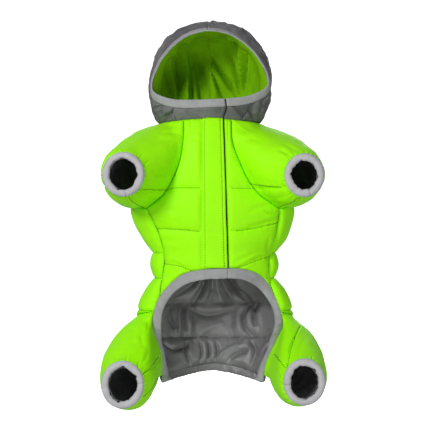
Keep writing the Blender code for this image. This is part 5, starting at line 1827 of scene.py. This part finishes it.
# %% Folds of the back lining
BACK_LINING_FOLDS = fold_table(
    (207, 268, 201, 288, 190, 306, 11.0, 3.4, 1.6),
    (212, 270, 212, 288, 207, 304, -5.0, 4.4, 0.0),
    (200, 274, 187, 286, 170, 296, 6.0, 4.0, 0.8),
    (226, 268, 238, 287, 254, 306, 11.0, 3.6, 1.6),
    (219, 272, 229, 290, 238, 306, -4.6, 4.8, 0.0),
    (244, 290, 251, 300, 258, 312, 6.0, 3.0, 0.6),
    (216, 278, 219, 292, 226, 306, 3.6, 4.0, 0.5),
    (253, 302, 245, 315, 246, 327, 257, 340, 7.0, 3.4, 1.0),
    (259, 302, 256, 314, 259, 328, 6.0, 3.0, 0.6),
    (172, 302, 167, 314, 171, 330, 6.0, 3.6, 0.8),
    (184, 302, 181, 315, 184, 332, 7.0, 3.0, 0.8),
    (178, 302, 176, 320, 178, 340, -4.0, 4.6, 0.0),
    (188, 309, 206, 315, 234, 309, 5.0, 6.0, 0.4),
    (192, 342, 206, 330, 224, 322, -3.4, 7.0, 0.0),
    (158, 344, 170, 351, 188, 346, 6.0, 4.0, 0.6),
    (186, 342, 184, 354, 192, 370, 6.0, 3.0, 0.6),
    (199, 342, 201, 354, 198, 368, 5.0, 2.6, 0.6),
    (208, 342, 209, 353, 206, 366, 6.0, 2.6, 0.8),
    (216, 342, 218, 353, 213, 366, 5.0, 2.6, 0.6),
    (214, 366, 226, 353, 242, 345, -4.0, 4.0, 0.0),
    (224, 368, 236, 357, 252, 352, 6.0, 4.0, 0.6),
    (252, 340, 259, 352, 254, 370, 5.0, 4.0, 0.6))

# %% Make the back lining
LINING_LINES = (-244.0, -292.0)                 # heights of the lining's quilt lines
LINING_UPRIGHTS = (-29.0, 30.0)                 # places across of its upright lines
LINING_TOP, LINING_FOOT, LINING_LONG = 186, 345.0, 3.0
LINING_ACROSS, LINING_SPACING = 190, 1.45


def make_back_lining():
    """The grey lining of the lower back, quilted in squares and full of loose folds."""
    across = (LINING_COLUMNS - 1) * np.linspace(0, 1, LINING_ACROSS)
    turns, drops = fine_back(LINING_COLUMNS, across, LINING_SPACING, [LEG_TOP], LINING_TOP,
                             3.0)[:2]
    drops[-1] += LINING_LONG
    grid, face = on_trunk(turns, drops)
    ways = border_ways(grid)
    x, height = grid[..., 0], grid[..., 2]
    puff, away = quilt(-height, [-height[0, 0], *(-line for line in LINING_LINES), LINING_FOOT])
    upright = np.min([np.abs(x - place) for place in LINING_UPRIGHTS], axis=0)
    between = (height < LINING_LINES[0]) & (height > LINING_LINES[1])
    groove = np.where(between, near(upright, 2.2, 1.3), 0)    # the upright stitch lines
    inward = 7.0 * puff - 3.4 * groove * puff    # how far it hangs from the back
    inward += 1.2 * puckers(grid, away, (1, 1, 0.25), 6.5, 8.0, 121)
    inward += 0.9 * puckers(grid, np.where(between, upright, 40), (0.25, 0.25, 1), 5, 5, 123)
    inward += 1.6 * rumple(grid * np.array([1, 1, 0.7]), 24, 125)
    inward += 0.35 * rumple(grid, 9, 127)
    inward += fold_heights(grid, faces_viewer(face, 1), BACK_LINING_FOLDS)
    free = rise(closest(ways, "first", "last", "bottom"), 9) * rise(ways["top"], 9)
    raised = -(CLOTH + 2.6) - np.maximum(inward, -1.6) * free
    piece, outer = shell("back_lining_cloth", grid, face, raised, 1.0, grey_taffeta)
    cut(piece, grid)
    inner, inside_up = outer - face * 1.0, -face
    middle = np.arange(20, LINING_ACROSS - 20)
    for line in LINING_LINES:
        sewn["dark"].append(level_run(inner, inside_up, -height, -line, middle))
    rows = np.nonzero(between[:, LINING_ACROSS // 2])[0]
    for place in LINING_UPRIGHTS:
        numbers = [nearest(x[row], place) for row in rows]
        sewn["dark"].append((inner[rows, numbers], inside_up[rows, numbers]))
    dressed(piece, "grey_lining", "back_lining")


make_back_lining()

# %% [markdown]
# ## Stitches
#
# All stitch lines were noted down while the pieces were made.  Green thread runs along the
# quilt lines and the flap, and with longer stitches along the side seams and the seams of
# the legs.  That thread is much darker than the cloth; in the seams it is painted shade, the
# dark line of each seam's groove.  Pale thread is on the collar, dark thread in the lining,
# at the hem and along the hood's crown.

# %% Sew
# the seam stitches' dark thread is painted shade along the seams
SEWING = table("name runs thread slot pitch length thick",
               ("green_stitches", "green", green_thread_and_seam_shade, "green_nylon", 3.4, 2.2, 0.42),
               ("seam_stitches", "seam", green_thread_and_seam_shade, "green_nylon", 3.6, 3.0, 0.42),
               ("pale_stitches", "grey", grey_thread, "light_tape", 2.6, 1.9, 0.26),
               ("dark_stitches", "dark", dark_thread, "grey_lining", 3.4, 2.4, 0.28))

for row in SEWING:
    dressed(sew(row.name, sewn[row.runs], row.thread, row.pitch, row.length, row.thick), row.slot)
print("stitch lines:", {name: len(runs) for name, runs in sewn.items()})

# %% [markdown]
# ## Measure and finish
#
# The dressed suit must be as big as its solids, apart from what cloth may stand proud.
# The two boxes are compared and the differences printed.

# %% Compare the boxes
suit_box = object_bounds()
sides_mm = [[round((corner[k] - other[k]) * 1000, 1) for k in range(3)]
            for corner, other in zip(suit_box, model_box)]
print("suit against model, low and high corners in mm:", sides_mm)
